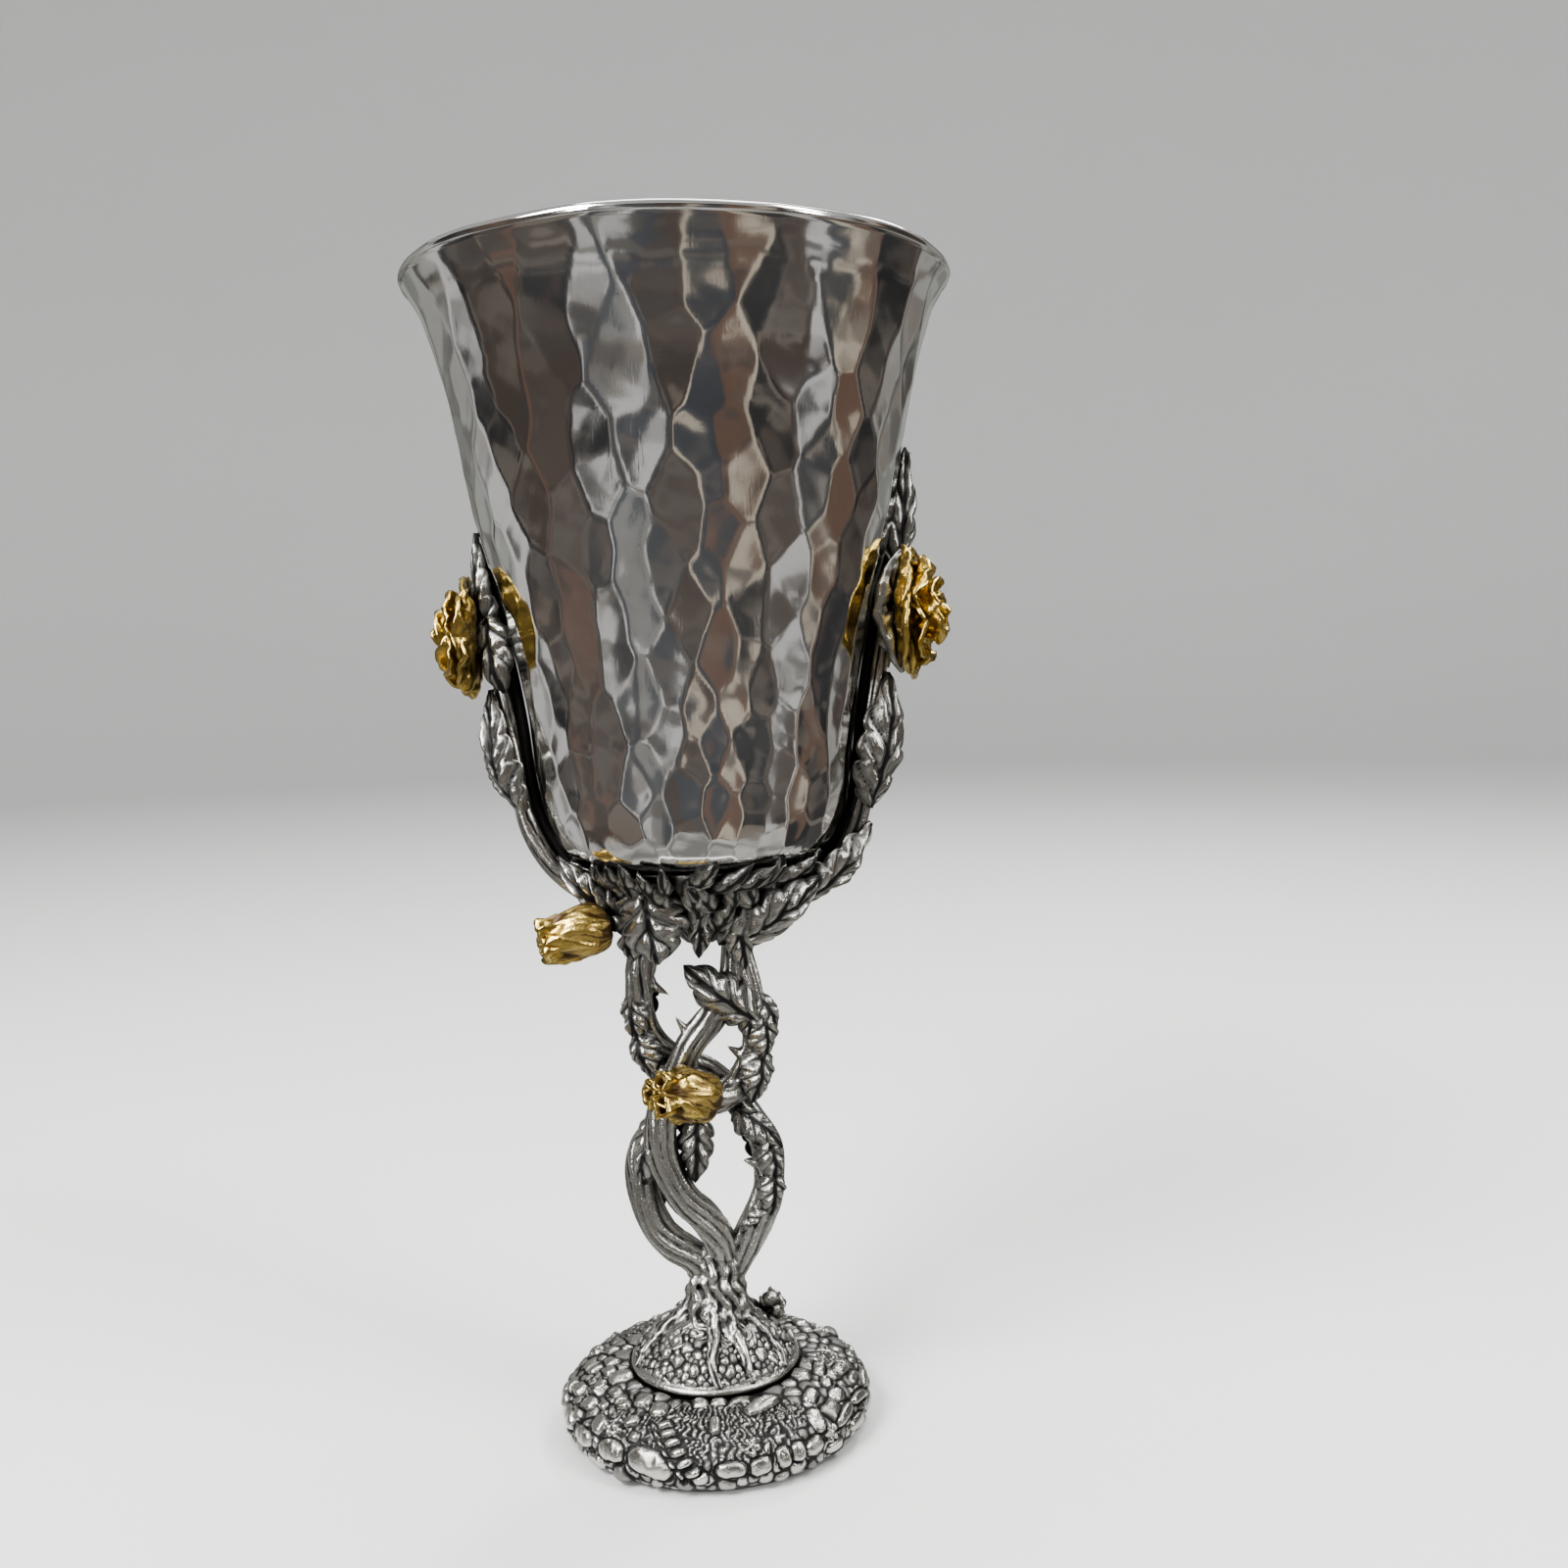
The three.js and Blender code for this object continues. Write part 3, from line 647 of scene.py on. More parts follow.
def sepal(stalk, tip, out, width, thick=0.9, arch=0.1, rows=20):
    """A smooth narrow leaf with a single fold, like the green ones under a rose."""
    length = math.dist(stalk, tip)
    t = np.linspace(0, 1, rows)[:, None]
    turn = round_turn(18)
    half = width / 2 * np.sin(math.pi * np.clip(0.015 + 0.975 * t, 0, 1)) ** 0.8
    x = half * np.cos(turn)
    fold = np.exp(-((x / (0.22 * width)) ** 2)) * 0.35 * thick * (np.sin(turn) > 0)
    body = thick * np.sin(turn) * np.sin(math.pi * (0.02 + 0.96 * t)) ** 0.6
    z = arch * length * np.sin(math.pi * t) + body - fold
    rings = np.stack([x, length * t + 0 * x, z], -1)
    # The fold is patina; the underside is darkened a little as painted shade.
    points, faces, depth = loft(rings, fold * 1.6 + 0.3 * (np.sin(turn) < 0))
    return aimed(points, stalk, tip, out), faces, depth


print(f"one leaf has {len(leaf((0, 0, 0), (0, 10, 0), (0, 0, 1), 6)[1])} faces")

# %% [markdown]
# ## Pebbles
#
# Both the foot and the mound above it are covered with pebbles, packed so close that only dark cracks
# show between them. A pebble is the part of the ground that lies nearer to its own middle than to any
# other's, so two distances at each point, to the nearest middle and to the next, give both the pebble
# and the crack beside it. Blender's Voronoi texture works the same way, but a texture can't choose
# where the pebbles lie, and this can.

# %% Strew and pack pebbles


def strew(inner, outer, tries, sizes, shares, crowd, seed):
    """Middles and sizes of pebbles on a ring of ground, strewn so that none is too near another."""
    rng = np.random.default_rng(seed)
    pebbles = []
    for _ in range(tries):
        reach = math.sqrt(rng.uniform(inner**2, outer**2))
        angle = rng.uniform(0, TURN)
        size = rng.choice(sizes, p=shares)
        x, y = reach * math.cos(angle), reach * math.sin(angle)
        if all((x - a) ** 2 + (y - b) ** 2 > (crowd * (size + c)) ** 2 for a, b, c in pebbles):
            pebbles.append((x, y, size))
    return pebbles


def pebbled(x, y, pebbles):
    """The height of the pebbles, and how black each place is.

    The cracks are blackest, and some pebbles are darker than others.
    """
    first, second = np.full(x.shape, 9.0), np.full(x.shape, 9.0)
    tall, tone = np.zeros(x.shape), np.zeros(x.shape)
    for a, b, size in pebbles:
        far = np.hypot(x - a, y - b) / size
        second = np.minimum(second, np.maximum(first, far))
        tall = np.where(far < first, size * (0.85 + 0.25 * math.sin(53 * a)), tall)
        tone = np.where(far < first, 0.32 * math.sin(37 * a + 91 * b), tone)
        first = np.minimum(first, far)
    share = np.clip(2 * first / (first + second), 0, 1)
    crack = smooth(0.76, 1.0, share)
    return tall * (1 - share**2.6) ** 0.7, crack + tone * (1 - crack)


print("pebbles on a test ring:", len(strew(5, 10, 500, [0.7, 1.0], [0.5, 0.5], 0.88, 1)))

# %% [markdown]
# ## The foot
#
# The foot is a wide low dome cast as a patch of garden: flat stones round the edge, a stepping-stone
# path at the front, slabs, oval pebbles, small flowers, and moss like a heap of threads between them.
# Each stone could be an object of its own, but it is one casting, so it is one surface whose height
# is worked out at every point: the highest stone that covers it, or else the moss or the pebbles that
# fill the rest. The garden is laid out flat, by the angle round the foot and the distance down its
# dome, so that the stones keep their shape where the dome turns steep.

# %% Stones and flowers as heights
MOUND_RADIUS = 12.5
SEAT_HEIGHT = foot_high[2] - 0.2
EDGE_HEIGHT = 3.8
EDGE_RADIUS = FOOT_RADIUS - 0.6


def on_garden(degrees, reach):
    """The flat garden's x and y at an angle round the foot and a distance down its dome."""
    return reach * math.cos(math.radians(degrees)), reach * math.sin(math.radians(degrees))


def stone(x, y, degrees, reach, length, width, tilt, height):
    """A flat-topped stone laid along the rim, or tilted from it: its height, and the crack round it."""
    cx, cy = on_garden(degrees, reach)
    c, s = math.cos(math.radians(degrees + 90 + tilt)), math.sin(math.radians(degrees + 90 + tilt))
    along = ((x - cx) * c + (y - cy) * s) / (length / 2)
    across = ((y - cy) * c - (x - cx) * s) / (width / 2)
    far = (np.abs(along) ** 3 + np.abs(across) ** 3) ** (1 / 3)
    inside = far < 1
    top = height * (1 - np.clip(far, 0, 1) ** 5) ** 0.6 * inside * (1 + 0.2 * along)
    return top, (far < 1 + 0.4 / min(length, width)) & ~inside


FRONT_STONES = [  # degrees, distance down the dome, length, width, tilt, height
    (-132, 23.4, 4.8, 2.6, 4, 0.7), (-115, 23.5, 7.2, 3.3, -7, 0.8), (-97, 24.9, 2.4, 1.6, 0, 0.5),
    (-86, 24.0, 4.4, 1.9, 0, 0.7), (-75.5, 24.1, 3.2, 2.1, 8, 0.6), (-67, 23.7, 2.0, 2.7, 10, 0.75),
    (-61, 23.6, 2.0, 2.4, -8, 0.7), (-54, 23.7, 3.0, 2.0, 20, 0.7), (-35, 22.4, 4.8, 1.4, 12, 0.8),
    (-21, 22.4, 4.4, 1.3, -8, 0.75), (-6, 22.3, 4.2, 1.5, 8, 0.75), (-28, 24.6, 4.6, 1.8, 0, 0.6),
    (-12, 24.6, 4.4, 1.8, 4, 0.6), (-44, 25.2, 3.6, 1.6, 0, 0.5), (-132.5, 15.3, 2.7, 2.6, 20, 0.75),
    (-120.5, 16.0, 2.6, 2.5, 8, 0.7), (-67, 15.7, 5.4, 2.2, 10, 0.85), (-91.5, 18.0, 1.5, 2.9, 0, 0.75),
    (-49, 21.0, 2.2, 3.4, -10, 0.75), (-42, 17.7, 2.8, 2.0, 25, 0.7), (-31, 19.9, 2.4, 2.2, 0, 0.6),
    (-19, 15.8, 3.2, 1.8, 15, 0.7), (-27, 17.6, 2.2, 1.5, 40, 0.6), (-12, 18.6, 3.2, 2.0, -15, 0.7),
    (-14, 20.6, 2.6, 1.4, 0, 0.6), (-156, 20.1, 3.2, 2.2, 15, 0.7), (-142, 21.2, 2.8, 2.5, -10, 0.75),
    (-173, 15.8, 2.8, 2.0, 20, 0.7), (-139, 17.3, 2.1, 1.5, 30, 0.6), (-151, 16.5, 2.5, 1.7, 0, 0.65),
    (-163, 17.6, 2.7, 1.9, -25, 0.65), (-148.5, 18.9, 1.8, 1.4, 0, 0.5),
    (-129, 19.0, 2.4, 1.6, 35, 0.6), (-124, 20.9, 1.6, 1.3, 0, 0.5), (-170, 20.4, 3.2, 2.1, 10, 0.7),
    (-148, 23.6, 4.4, 2.2, 0, 0.7), (-163, 23.4, 5.0, 2.3, -5, 0.7), (-178, 23.4, 5.2, 2.2, 5, 0.7),
    (-140, 25.8, 4.6, 1.6, 0, 0.45), (-158, 25.8, 5.0, 1.5, 0, 0.45),
]
PATH_START, PATH_END, PATH_STONES = (-113.5, 18.6), (-99.5, 24.2), 6


def garden_stones():
    stones = list(FRONT_STONES)
    for share in np.linspace(0, 1, PATH_STONES):  # the stepping stones and the kerb beside them
        degrees, reach = (a + (b - a) * share for a, b in zip(PATH_START, PATH_END))
        stones.append((degrees, reach, 2.3, 0.95, 18, 0.75))
        stones.append((degrees - 4.3, reach + 0.4, 0.45, 1.5, 52, 0.5))
    rng = np.random.default_rng(5)
    for number in range(17):  # the rim behind
        stones.append((
            8 + 10.6 * number, 23.6 + rng.uniform(-0.4, 0.4), rng.uniform(3.0, 4.3),
            rng.uniform(1.7, 2.5), rng.uniform(-12, 12), rng.uniform(0.5, 0.8),
        ))
        stones.append((13 + 10.6 * number, 25.9, rng.uniform(3.0, 4.3), 1.4, rng.uniform(-4, 4), 0.4))
    return stones


MOSS_FIELDS = [  # degrees, distance down the dome, half the angle, half the depth
    (-88, 18.8, 37, 4.6), (-131, 19.4, 9, 2.0), (-3, 16.6, 9, 1.8), (62, 19, 24, 3), (134, 17.5, 16, 3),
    (-168, 18.4, 5, 1.4),
]


def moss_share(degrees, reach, flat):
    """1 where moss grows and 0 where pebbles lie."""
    share = np.zeros(np.broadcast_shapes(degrees.shape, reach.shape))
    for middle, centre, wide, deep in MOSS_FIELDS:
        away = (degrees - middle + 180) % 360 - 180
        far = np.sqrt((away / wide) ** 2 + ((reach - centre) / deep) ** 2) + 0.12 * ripple(flat, 4.0, 26)
        share = np.maximum(share, smooth(1.04, 0.96, far))
    return share


FLOWERS = [  # degrees, distance down the dome
    (-45.5, 23.2), (-78, 21.6), (-133, 21.4), (28, 18.6), (75, 19.6), (118, 18.8), (160, 19.4),
]


def garden_flowers(x, y):
    """Small open flowers, each five round petals and a middle."""
    height = np.zeros(x.shape)
    for degrees, reach in FLOWERS:
        cx, cy = on_garden(degrees, reach)
        petals = [(0.82 * math.cos(k * TURN / 5), 0.82 * math.sin(k * TURN / 5)) for k in range(5)]
        for px, py, size in [(cx, cy, 0.42)] + [(cx + a, cy + b, 0.46) for a, b in petals]:
            dome = 1 - ((x - px) ** 2 + (y - py) ** 2) / size**2
            height = np.maximum(height, 0.75 * np.sqrt(np.clip(dome, 0, 1)))
    return height


print(f"the garden has {len(garden_stones())} laid stones and {len(FLOWERS)} flowers")

# %% Cast the foot
MOSS_THREADS = 128
RING_RADIUS = 20.4  # the ring that the foot stands on
RING_WIDTH = 3.2


def make_foot():
    turn = round_turn(640)
    slope = np.linspace(0, math.pi / 2, 200)
    dome = np.stack([MOUND_RADIUS + (EDGE_RADIUS - MOUND_RADIUS) * np.sin(slope),
                     EDGE_HEIGHT + (SEAT_HEIGHT - EDGE_HEIGHT) * np.cos(slope)], -1)
    edge = [(EDGE_RADIUS + 0.05, 2.9), (EDGE_RADIUS - 0.2, 1.7), (EDGE_RADIUS - 1.0, 0.5)]
    outline = np.vstack([dome, edge])
    run = np.append(0, np.cumsum(np.hypot(*np.diff(outline, axis=0).T)))
    even = np.linspace(0, run[-1], 94)
    radius = np.interp(even, run, outline[:, 0])[:, None]
    height = np.interp(even, run, outline[:, 1])[:, None]
    reach = MOUND_RADIUS + even[:, None]
    x, y = reach * np.cos(turn), reach * np.sin(turn)
    flat = np.stack([x, y, 0 * x], -1)
    thread = np.abs(np.sin(math.pi * (MOSS_THREADS * turn / TURN + 0.62 * ripple(flat, 2.3, 21))))
    knot = 0.66 + 0.34 * np.sin(TURN * (reach / 2.7 + 1.1 * ripple(flat, 2.0, 22)))
    mossy = moss_share(np.degrees(turn), reach, flat)
    sizes, shares = [0.7, 1.0, 1.4], [0.3, 0.4, 0.3]
    strewn = strew(13.4, 27.6, tries=6000, sizes=sizes, shares=shares, crowd=0.88, seed=8)
    stones, crack = pebbled(x, y, strewn)
    rise = mossy * 0.55 * thread * knot + (1 - mossy) * 0.8 * stones
    shadow = mossy * np.clip(1.1 - 1.7 * thread * knot, -0.4, 1) + (1 - mossy) * crack
    cover = garden_flowers(x, y)
    for place in garden_stones():
        tall, gap = stone(x, y, *place)
        rise, shadow = np.where(gap, 0.05, rise), np.where(gap, 1.0, shadow)
        cover = np.where(gap, 0, np.maximum(cover, tall))
    laid = cover > 0.1
    rise = np.where(laid, cover + 0.2 + 0.05 * ripple(flat, 1.6, 23), rise)
    # The laid stones' tops are rubbed clear of the black, as raised silver is, and lightened further as a
    # painted highlight for the light that falls on them from above.
    shadow = np.where(laid, -0.45, shadow)
    fade = smooth(0, 0.5, even[:, None]) * smooth(run[-1], run[-1] - 1.6, even[:, None])
    out = np.arctan2(np.gradient(radius[:, 0]), -np.gradient(height[:, 0]))[:, None]
    top = round_ring(radius + rise * fade * np.cos(out), height + rise * fade * np.sin(out), turn)
    # The added 0.3 darkens the whole foot: painted shade that tones down the light on its upward faces.
    hollow_and_painted_light = (1.2 * shadow + 0.3) * fade
    inner_edge = RING_RADIUS - RING_WIDTH
    under = ((RING_RADIUS, 0.0), (inner_edge, 0.0), (RING_RADIUS - 4.6, 2.4), (MOUND_RADIUS, 5.2))
    below = [round_ring(r, z, turn) for r, z in under]
    rings = np.concatenate([round_ring(MOUND_RADIUS - 0.4, SEAT_HEIGHT - 0.2, turn), top] + below)
    # The ring under the mound's lip is painted black: painted shade under the lip.
    depth = np.concatenate([np.full((1, turn.size), 1.0), hollow_and_painted_light, np.full((len(below), turn.size), 0.3)])
    return [loft(rings, depth)]


piece("garden_foot", make_foot(), ANTIQUE_SILVER, "antique_silver", "foot")

# %% [markdown]
# ## The mound
#
# The bush grows from a small mound with a narrow plain lip. It is covered with the same pebbles, but
# smaller, and near the trunk with matted roots. It is lofted like the foot.

# %% Cast the mound
MOUND_OUTLINE = [(3.0, 16.8), (5.4, 15.4), (8.4, 13.1), (10.9, 10.9), (11.9, 10.0)]
MOUND_BOTTOM = foot_high[2] + 0.12
# On the lip's underside the third column paints it black: painted shade under the lip.
MOUND_LIP = [  # radius, height over the mound's bottom, hollow
    (12.25, 1.0, 0.0), (12.45, 0.8, 0.0), (12.5, 0.5, 0.2), (12.4, 0.2, 0.8), (12.0, 0.0, 1.2),
    (6.0, 0.0, 1.2),
]


def mound_height(radius):
    return np.interp(radius, *np.array(MOUND_OUTLINE).T)


def make_mound():
    turn = round_turn(460)
    radius = np.linspace(3.2, 12.0, 70)[:, None]
    x, y = radius * np.cos(turn), radius * np.sin(turn)
    cone = 9 * (radius / 9) ** 1.26  # laid out so that the pebbles keep their shape on the slope
    sizes, shares = [0.42, 0.58, 0.85, 1.2], [0.2, 0.3, 0.3, 0.2]
    strewn = strew(4.4, 13.2, tries=9000, sizes=sizes, shares=shares, crowd=0.84, seed=17)
    rise, crack = pebbled(cone * np.cos(turn), cone * np.sin(turn), strewn)
    flat = np.stack([x, y, 0 * x], -1)
    matted = np.abs(np.sin(math.pi * (22 * turn / TURN + 1.6 * ripple(flat, 3.0, 31) + 0.25 * radius)))
    upper = smooth(7.4, 6.0, radius + 0.8 * ripple(flat, 4.0, 32))
    rise = rise * (1 - upper) + 0.42 * matted**0.7 * upper
    crack = crack * (1 - upper) + smooth(0.6, 0.1, matted) * upper
    lip = smooth(11.6, 11.95, radius)
    rise, crack = rise * (1 - lip), crack * (1 - lip)
    spread = 1 + 0.4 * rise / radius
    top = np.stack([x * spread, y * spread, mound_height(radius) + rise + 0 * x], -1)
    rings = np.concatenate([top] + [round_ring(r, MOUND_BOTTOM + z, turn) for r, z, _ in MOUND_LIP])
    lip_depth = np.array([dark for *_, dark in MOUND_LIP])[:, None]
    # The added 0.24 darkens the whole mound: painted shade that tones down the light on its upward faces.
    depth = np.concatenate([1.3 * crack + 0.24, np.repeat(lip_depth, turn.size, 1)])
    return [loft(rings, depth)]


piece("pebbled_mound", make_mound(), ANTIQUE_SILVER, "antique_silver", "rose_bush_stem")

# %% [markdown]
# ## Roots, trunk and vines
#
# Three vines leave one trunk and twist round each other up to the crown. Each is a carved shaft, and
# where two shafts cross they would only pass through each other. On the casting they are one metal
# and run together, so the shafts are melted into one skin with a voxel remesh, and a little smoothing
# leaves the small fillets that wax has before it is cast. The remesh would blur the bark, and it
# forgets the hollows, so the shafts go in smooth, and each new point takes its relief and its hollow
# from the nearest old ones.

# %% Melt shafts into one casting
OLD_POINTS = 5  # how many old points each new one takes the average of


def cast_together(shells, voxel):
    """One skin over all the shells, rebuilt from cubes of that size in millimetres."""
    mould = put_in_scene("mould", mesh_of("mould", shells))
    melt = mould.modifiers.new("melt", "REMESH")
    melt.mode = "VOXEL"
    melt.voxel_size = voxel
    fettle = mould.modifiers.new("fettle", "SMOOTH")
    fettle.factor = 0.5
    fettle.iterations = 2
    cast = bpy.data.meshes.new_from_object(mould.evaluated_get(bpy.context.evaluated_depsgraph_get()))
    points, outward = np.empty((2, len(cast.vertices), 3))
    cast.vertices.foreach_get("co", points.ravel())
    cast.vertex_normals.foreach_get("vector", outward.ravel())
    faces = [list(face.vertices) for face in cast.polygons]
    old_points, _, old_hollow = join(shells)
    reliefs = [shell[3] if len(shell) > 3 else np.zeros(len(shell[0])) for shell in shells]
    old_relief = np.concatenate(reliefs)
    tree = kdtree.KDTree(len(old_points))
    for number, point in enumerate(old_points):
        tree.insert(point, number)
    tree.balance()
    nearest = np.array([[found[1] for found in tree.find_n(point, OLD_POINTS)] for point in points])
    bpy.data.objects.remove(mould)
    bpy.data.meshes.remove(cast)
    return points + outward * old_relief[nearest].mean(1)[:, None], faces, old_hollow[nearest].mean(1)


def bark(ribs, depth, twist, seed):
    """Bark for a shaft: strands that run along it, fork and wander, with sharp grooves between."""

    def carve(share, turn):
        place = round_ring(1, 11 * share, turn)
        wander = 0.9 * ripple(place, 2.8, seed)
        groove = np.abs(np.sin(0.5 * ribs * (turn + twist * share) + wander))
        fine = np.abs(np.sin(ribs * (turn + twist * share) + 1.4 * ripple(place, 2.0, seed + 2)))
        knots = 0.4 * depth * ripple(place, 1.4, seed + 1)
        height = 0.8 * groove**0.75 + 0.2 * fine
        return depth * 1.7 * (height - 0.7) + knots, np.clip(4.2 * (0.64 - height), -0.2, 1.6)

    return carve


test_height, _ = bark(9, 0.45, 3.4, 1)(np.linspace(0, 1, 90)[:, None], round_turn(60))
print(f"bark goes {-test_height.min():.1f} mm in and {test_height.max():.1f} mm out")

# %% The trunk, its roots and the vines
VINE_RADIUS = 2.0
TRUNK = [(0.2, 0, 13), (0.5, 0, 17), (0.9, -0.2, 21), (0.8, -0.3, 25.5)]
VINES = [
    # out to the right, back across behind the others, and up the left side
    [(2, 0, 21.5), (4.4, -0.2, 25.4), (6.6, -0.6, 29.4), (8.2, -0.9, 33.2), (8.9, -0.6, 37),
     (8.6, 0.2, 40.8), (6.4, 1.6, 44.6), (3.4, 2.6, 48.4), (-0.4, 2.6, 51.6), (-4.6, 1.4, 54),
     (-7.6, -0.2, 57), (-9.2, -1.2, 61.6), (-9, -1.6, 67), (-8, -1.4, 73), (-7, -1.2, 78.4)],
    # out to the left, across in the middle, and up the right side
    [(-0.4, 0, 21.5), (-2.6, -0.2, 24.4), (-5.4, -0.6, 26.8), (-7.8, -0.9, 29.6), (-9.2, -0.9, 33.4),
     (-9.8, -0.5, 37.6), (-9, 0.2, 41.8), (-6, 0.6, 45.2), (-1.6, 0.2, 47.4), (2.6, -0.6, 48.6),
     (5.6, -1.2, 51.6), (7.4, -1.6, 56), (7.4, -1.8, 61), (6.2, -1.6, 66.6), (5, -1.2, 73),
     (5.2, -1, 78.4)],
    # in front of both, leaning left and then right
    [(0.9, -0.6, 22), (1.2, -1.6, 27), (-1, -2.6, 31.4), (-3.8, -3.4, 35), (-5.8, -3.8, 38.6),
     (-6.9, -3.9, 42.6), (-6.6, -3.8, 46.6), (-5.4, -3.6, 50), (-4, -3.5, 53.4), (-2, -3.4, 57.4),
     (1, -3.2, 61), (3.8, -2.6, 64.4), (4.6, -2, 70), (4.8, -2.4, 76)],
]
VOXEL = 0.23
VINE_BARK = [  # strands, depth, twist
    (9, 0.45, 3.4), (10, 0.5, 1.4), (9, 0.4, 2.4),
]
THORNS = [
    ((-7.6, -1.6, 66), (-4.8, -2.4, 64.4)), ((-2.2, -3.6, 58.8), (-4.1, -4.6, 61.8)),
    ((5.4, -1.8, 55), (3.2, -2.6, 56.6)), ((6.9, -1, 38.6), (5.0, -1.4, 39.2)),
]
BUD_STALKS = [
    [(-7, -3.6, 76.2), (-12.2, -7.4, 75.9)],
    [(4.4, -1.4, 51), (4, -3.8, 49.8), (1.6, -5.4, 49.9)],
]
ROOT_DIRECTIONS = (-90, -63, -30, 40, 118, 196)


def straight_roots():
    for number, degrees in enumerate(ROOT_DIRECTIONS):
        knots = []
        for reach, height in ((3, 18), (5.2, 16), (7.8, 14.2), (10.3, 12.1), (12, 10)):
            turn = math.radians(degrees) + 0.05 * math.sin(2.3 * reach + number)
            knots.append((reach * math.cos(turn), reach * math.sin(turn), height))
        yield shaft(knots, taper(1.3, 0.55), 20, 60, bark(4, 0.22, 0.8, 40 + number), True)


CURLS = ((-163, 8.0), (-140, 6.6), (-55, 6.4), (-12, 7.4), (35, 7.0), (80, 7.6), (130, 7.2))


def curly_roots():
    """Thin roots that curl round each other on the mound, like wood shavings."""
    for number, (degrees, reach) in enumerate(CURLS):
        cx, cy = on_garden(degrees, reach)
        for ring in range(3):
            knots = []
            for step in range(9):
                turn = math.radians(degrees + 100 + 40 * number) + 0.62 * step
                x, y = cx + (0.7 + 0.75 * ring) * math.cos(turn), cy + (0.6 + 0.7 * ring) * math.sin(turn)
                knots.append((x, y, mound_height(math.hypot(x, y)) + 0.35))
            yield shaft(knots, taper(0.38, 0.26), 10, 46)


def bead(centre, radius, flat=1.0):
    """A small round knob."""
    tilt = np.linspace(0.15, math.pi - 0.15, 9)[:, None]
    ball = round_ring(np.sin(tilt), flat * np.cos(tilt), round_turn(14))
    return loft(np.array(centre) + radius * ball)


def trunk_knobs():
    """Burrs round the foot of the trunk."""
    rng = np.random.default_rng(31)
    for number in range(20):
        turn = number * 2.4
        height = 16.2 + 0.42 * number * rng.uniform(0.6, 1.1)
        reach = np.interp(height, [16, 18, 21, 25], [5.0, 4.3, 3.6, 2.9])
        middle = (0.5 + reach * math.cos(turn), reach * math.sin(turn), height)
        yield bead(middle, rng.uniform(0.6, 1.1), 1.3)


def trunk_radius(share):
    return taper(6.2, 3.2)(np.clip(share * 1.3, 0, 1))


def make_vines():
    shells = [shaft(TRUNK, trunk_radius, 90, 70, bark(12, 0.6, 0.9, 50), True)]
    shells += list(straight_roots()) + list(curly_roots()) + list(trunk_knobs())
    for number, (knots, (ribs, depth, twist)) in enumerate(zip(VINES, VINE_BARK)):
        width = taper(1.15 * VINE_RADIUS, 0.95 * VINE_RADIUS)
        shells.append(shaft(knots, width, 56, 260, bark(ribs, depth, twist, 60 + 2 * number), True))
    shells += [shaft(thorn, taper(1.0, 0.12), 10, 6) for thorn in THORNS]
    shells += [shaft(stalk, taper(1.2, 1.2), 14, 12) for stalk in BUD_STALKS]
    points, faces, hollow_and_painted_light = cast_together(shells, VOXEL)
    # Below about 27 mm the trunk and roots are darkened further: painted shade that tones down the light on
    # their upward faces.
    return [(points, faces, hollow_and_painted_light + 0.3 * smooth(27, 17, points[:, 2]))]


piece("twisted_vines", make_vines(), ANTIQUE_SILVER, "antique_silver", "rose_bush_stem")

# %% [markdown]
# ## The leaves on the vines
#
# On the casting the leaves lie close round their vines. Their stalks, tips and facings are a list,
# given one by one as a modeller in wax would place them, and each is lofted by the same function.

# %% Set the vine leaves
VINE_LEAVES = [  # stalk, tip, facing, width
    ((7.6, -3.8, 60.4), (-2.6, -5.2, 69), (0.2, -1, -0.2), 8.0),
    ((7.4, -2.4, 64.6), (10.6, -2.4, 58.4), (0.7, -1, 0.2), 5.0),
    ((8.4, -2.6, 61.4), (8.6, -3.4, 54.4), (0.5, -1, 0), 6.4),
    ((8.2, -2.8, 56.4), (6.6, -3.4, 48.2), (0.4, -1, 0), 6.4),
    ((6.2, -3.4, 63.6), (6.6, -3.8, 57.6), (0.1, -1, 0), 4.6),
    ((-10.2, -2.2, 65.2), (-9.4, -3.2, 58.0), (-0.6, -1, -0.1), 5.2),
    ((-9.6, -2.4, 59.8), (-7.6, -3.0, 52.2), (-0.5, -1, -0.1), 5.6),
    ((3.9, -1.6, 46.8), (10.8, -2.2, 41.0), (0.5, -0.9, 0.5), 5.6),
    ((8.6, -2.4, 43.4), (9.4, -2.8, 36.0), (0.5, -1, 0), 5.4),
    ((9.2, -2.2, 38.0), (8.8, -2.8, 31.0), (0.4, -1, 0), 5.2),
    ((9.0, -1.8, 32.8), (4.4, -2.4, 28.2), (0.4, -1, -0.4), 4.4),
    ((-1.6, -2.6, 47.4), (-2, -4.2, 37), (0.1, -1, -0.1), 6.2),
    ((-7.4, -3.0, 47.2), (-9.6, -3.0, 36.4), (-0.4, -1, 0.1), 6.2),
    ((-8.2, 0.8, 67.4), (-9.2, 1.4, 57.4), (-0.4, 1, 0), 5.2),
    ((6.6, 0.8, 64), (7.6, 1.4, 54), (0.3, 1, 0), 5.2),
    ((7, 2.6, 44.2), (9, 2.2, 34.6), (0.3, 1, 0), 5.6),
    ((-9.2, 1.2, 41.4), (-7.2, 1.4, 31), (-0.3, 1, 0), 5.2),
]


BLOSSOMS = [
    (8.0, 4.4, 12.8), (9.2, 4.2, 13.6), (7.8, 4.8, 14.6), (9.0, 5.2, 15.4), (8.4, 4.0, 15.8),
    (9.8, 4.6, 14.8),
]


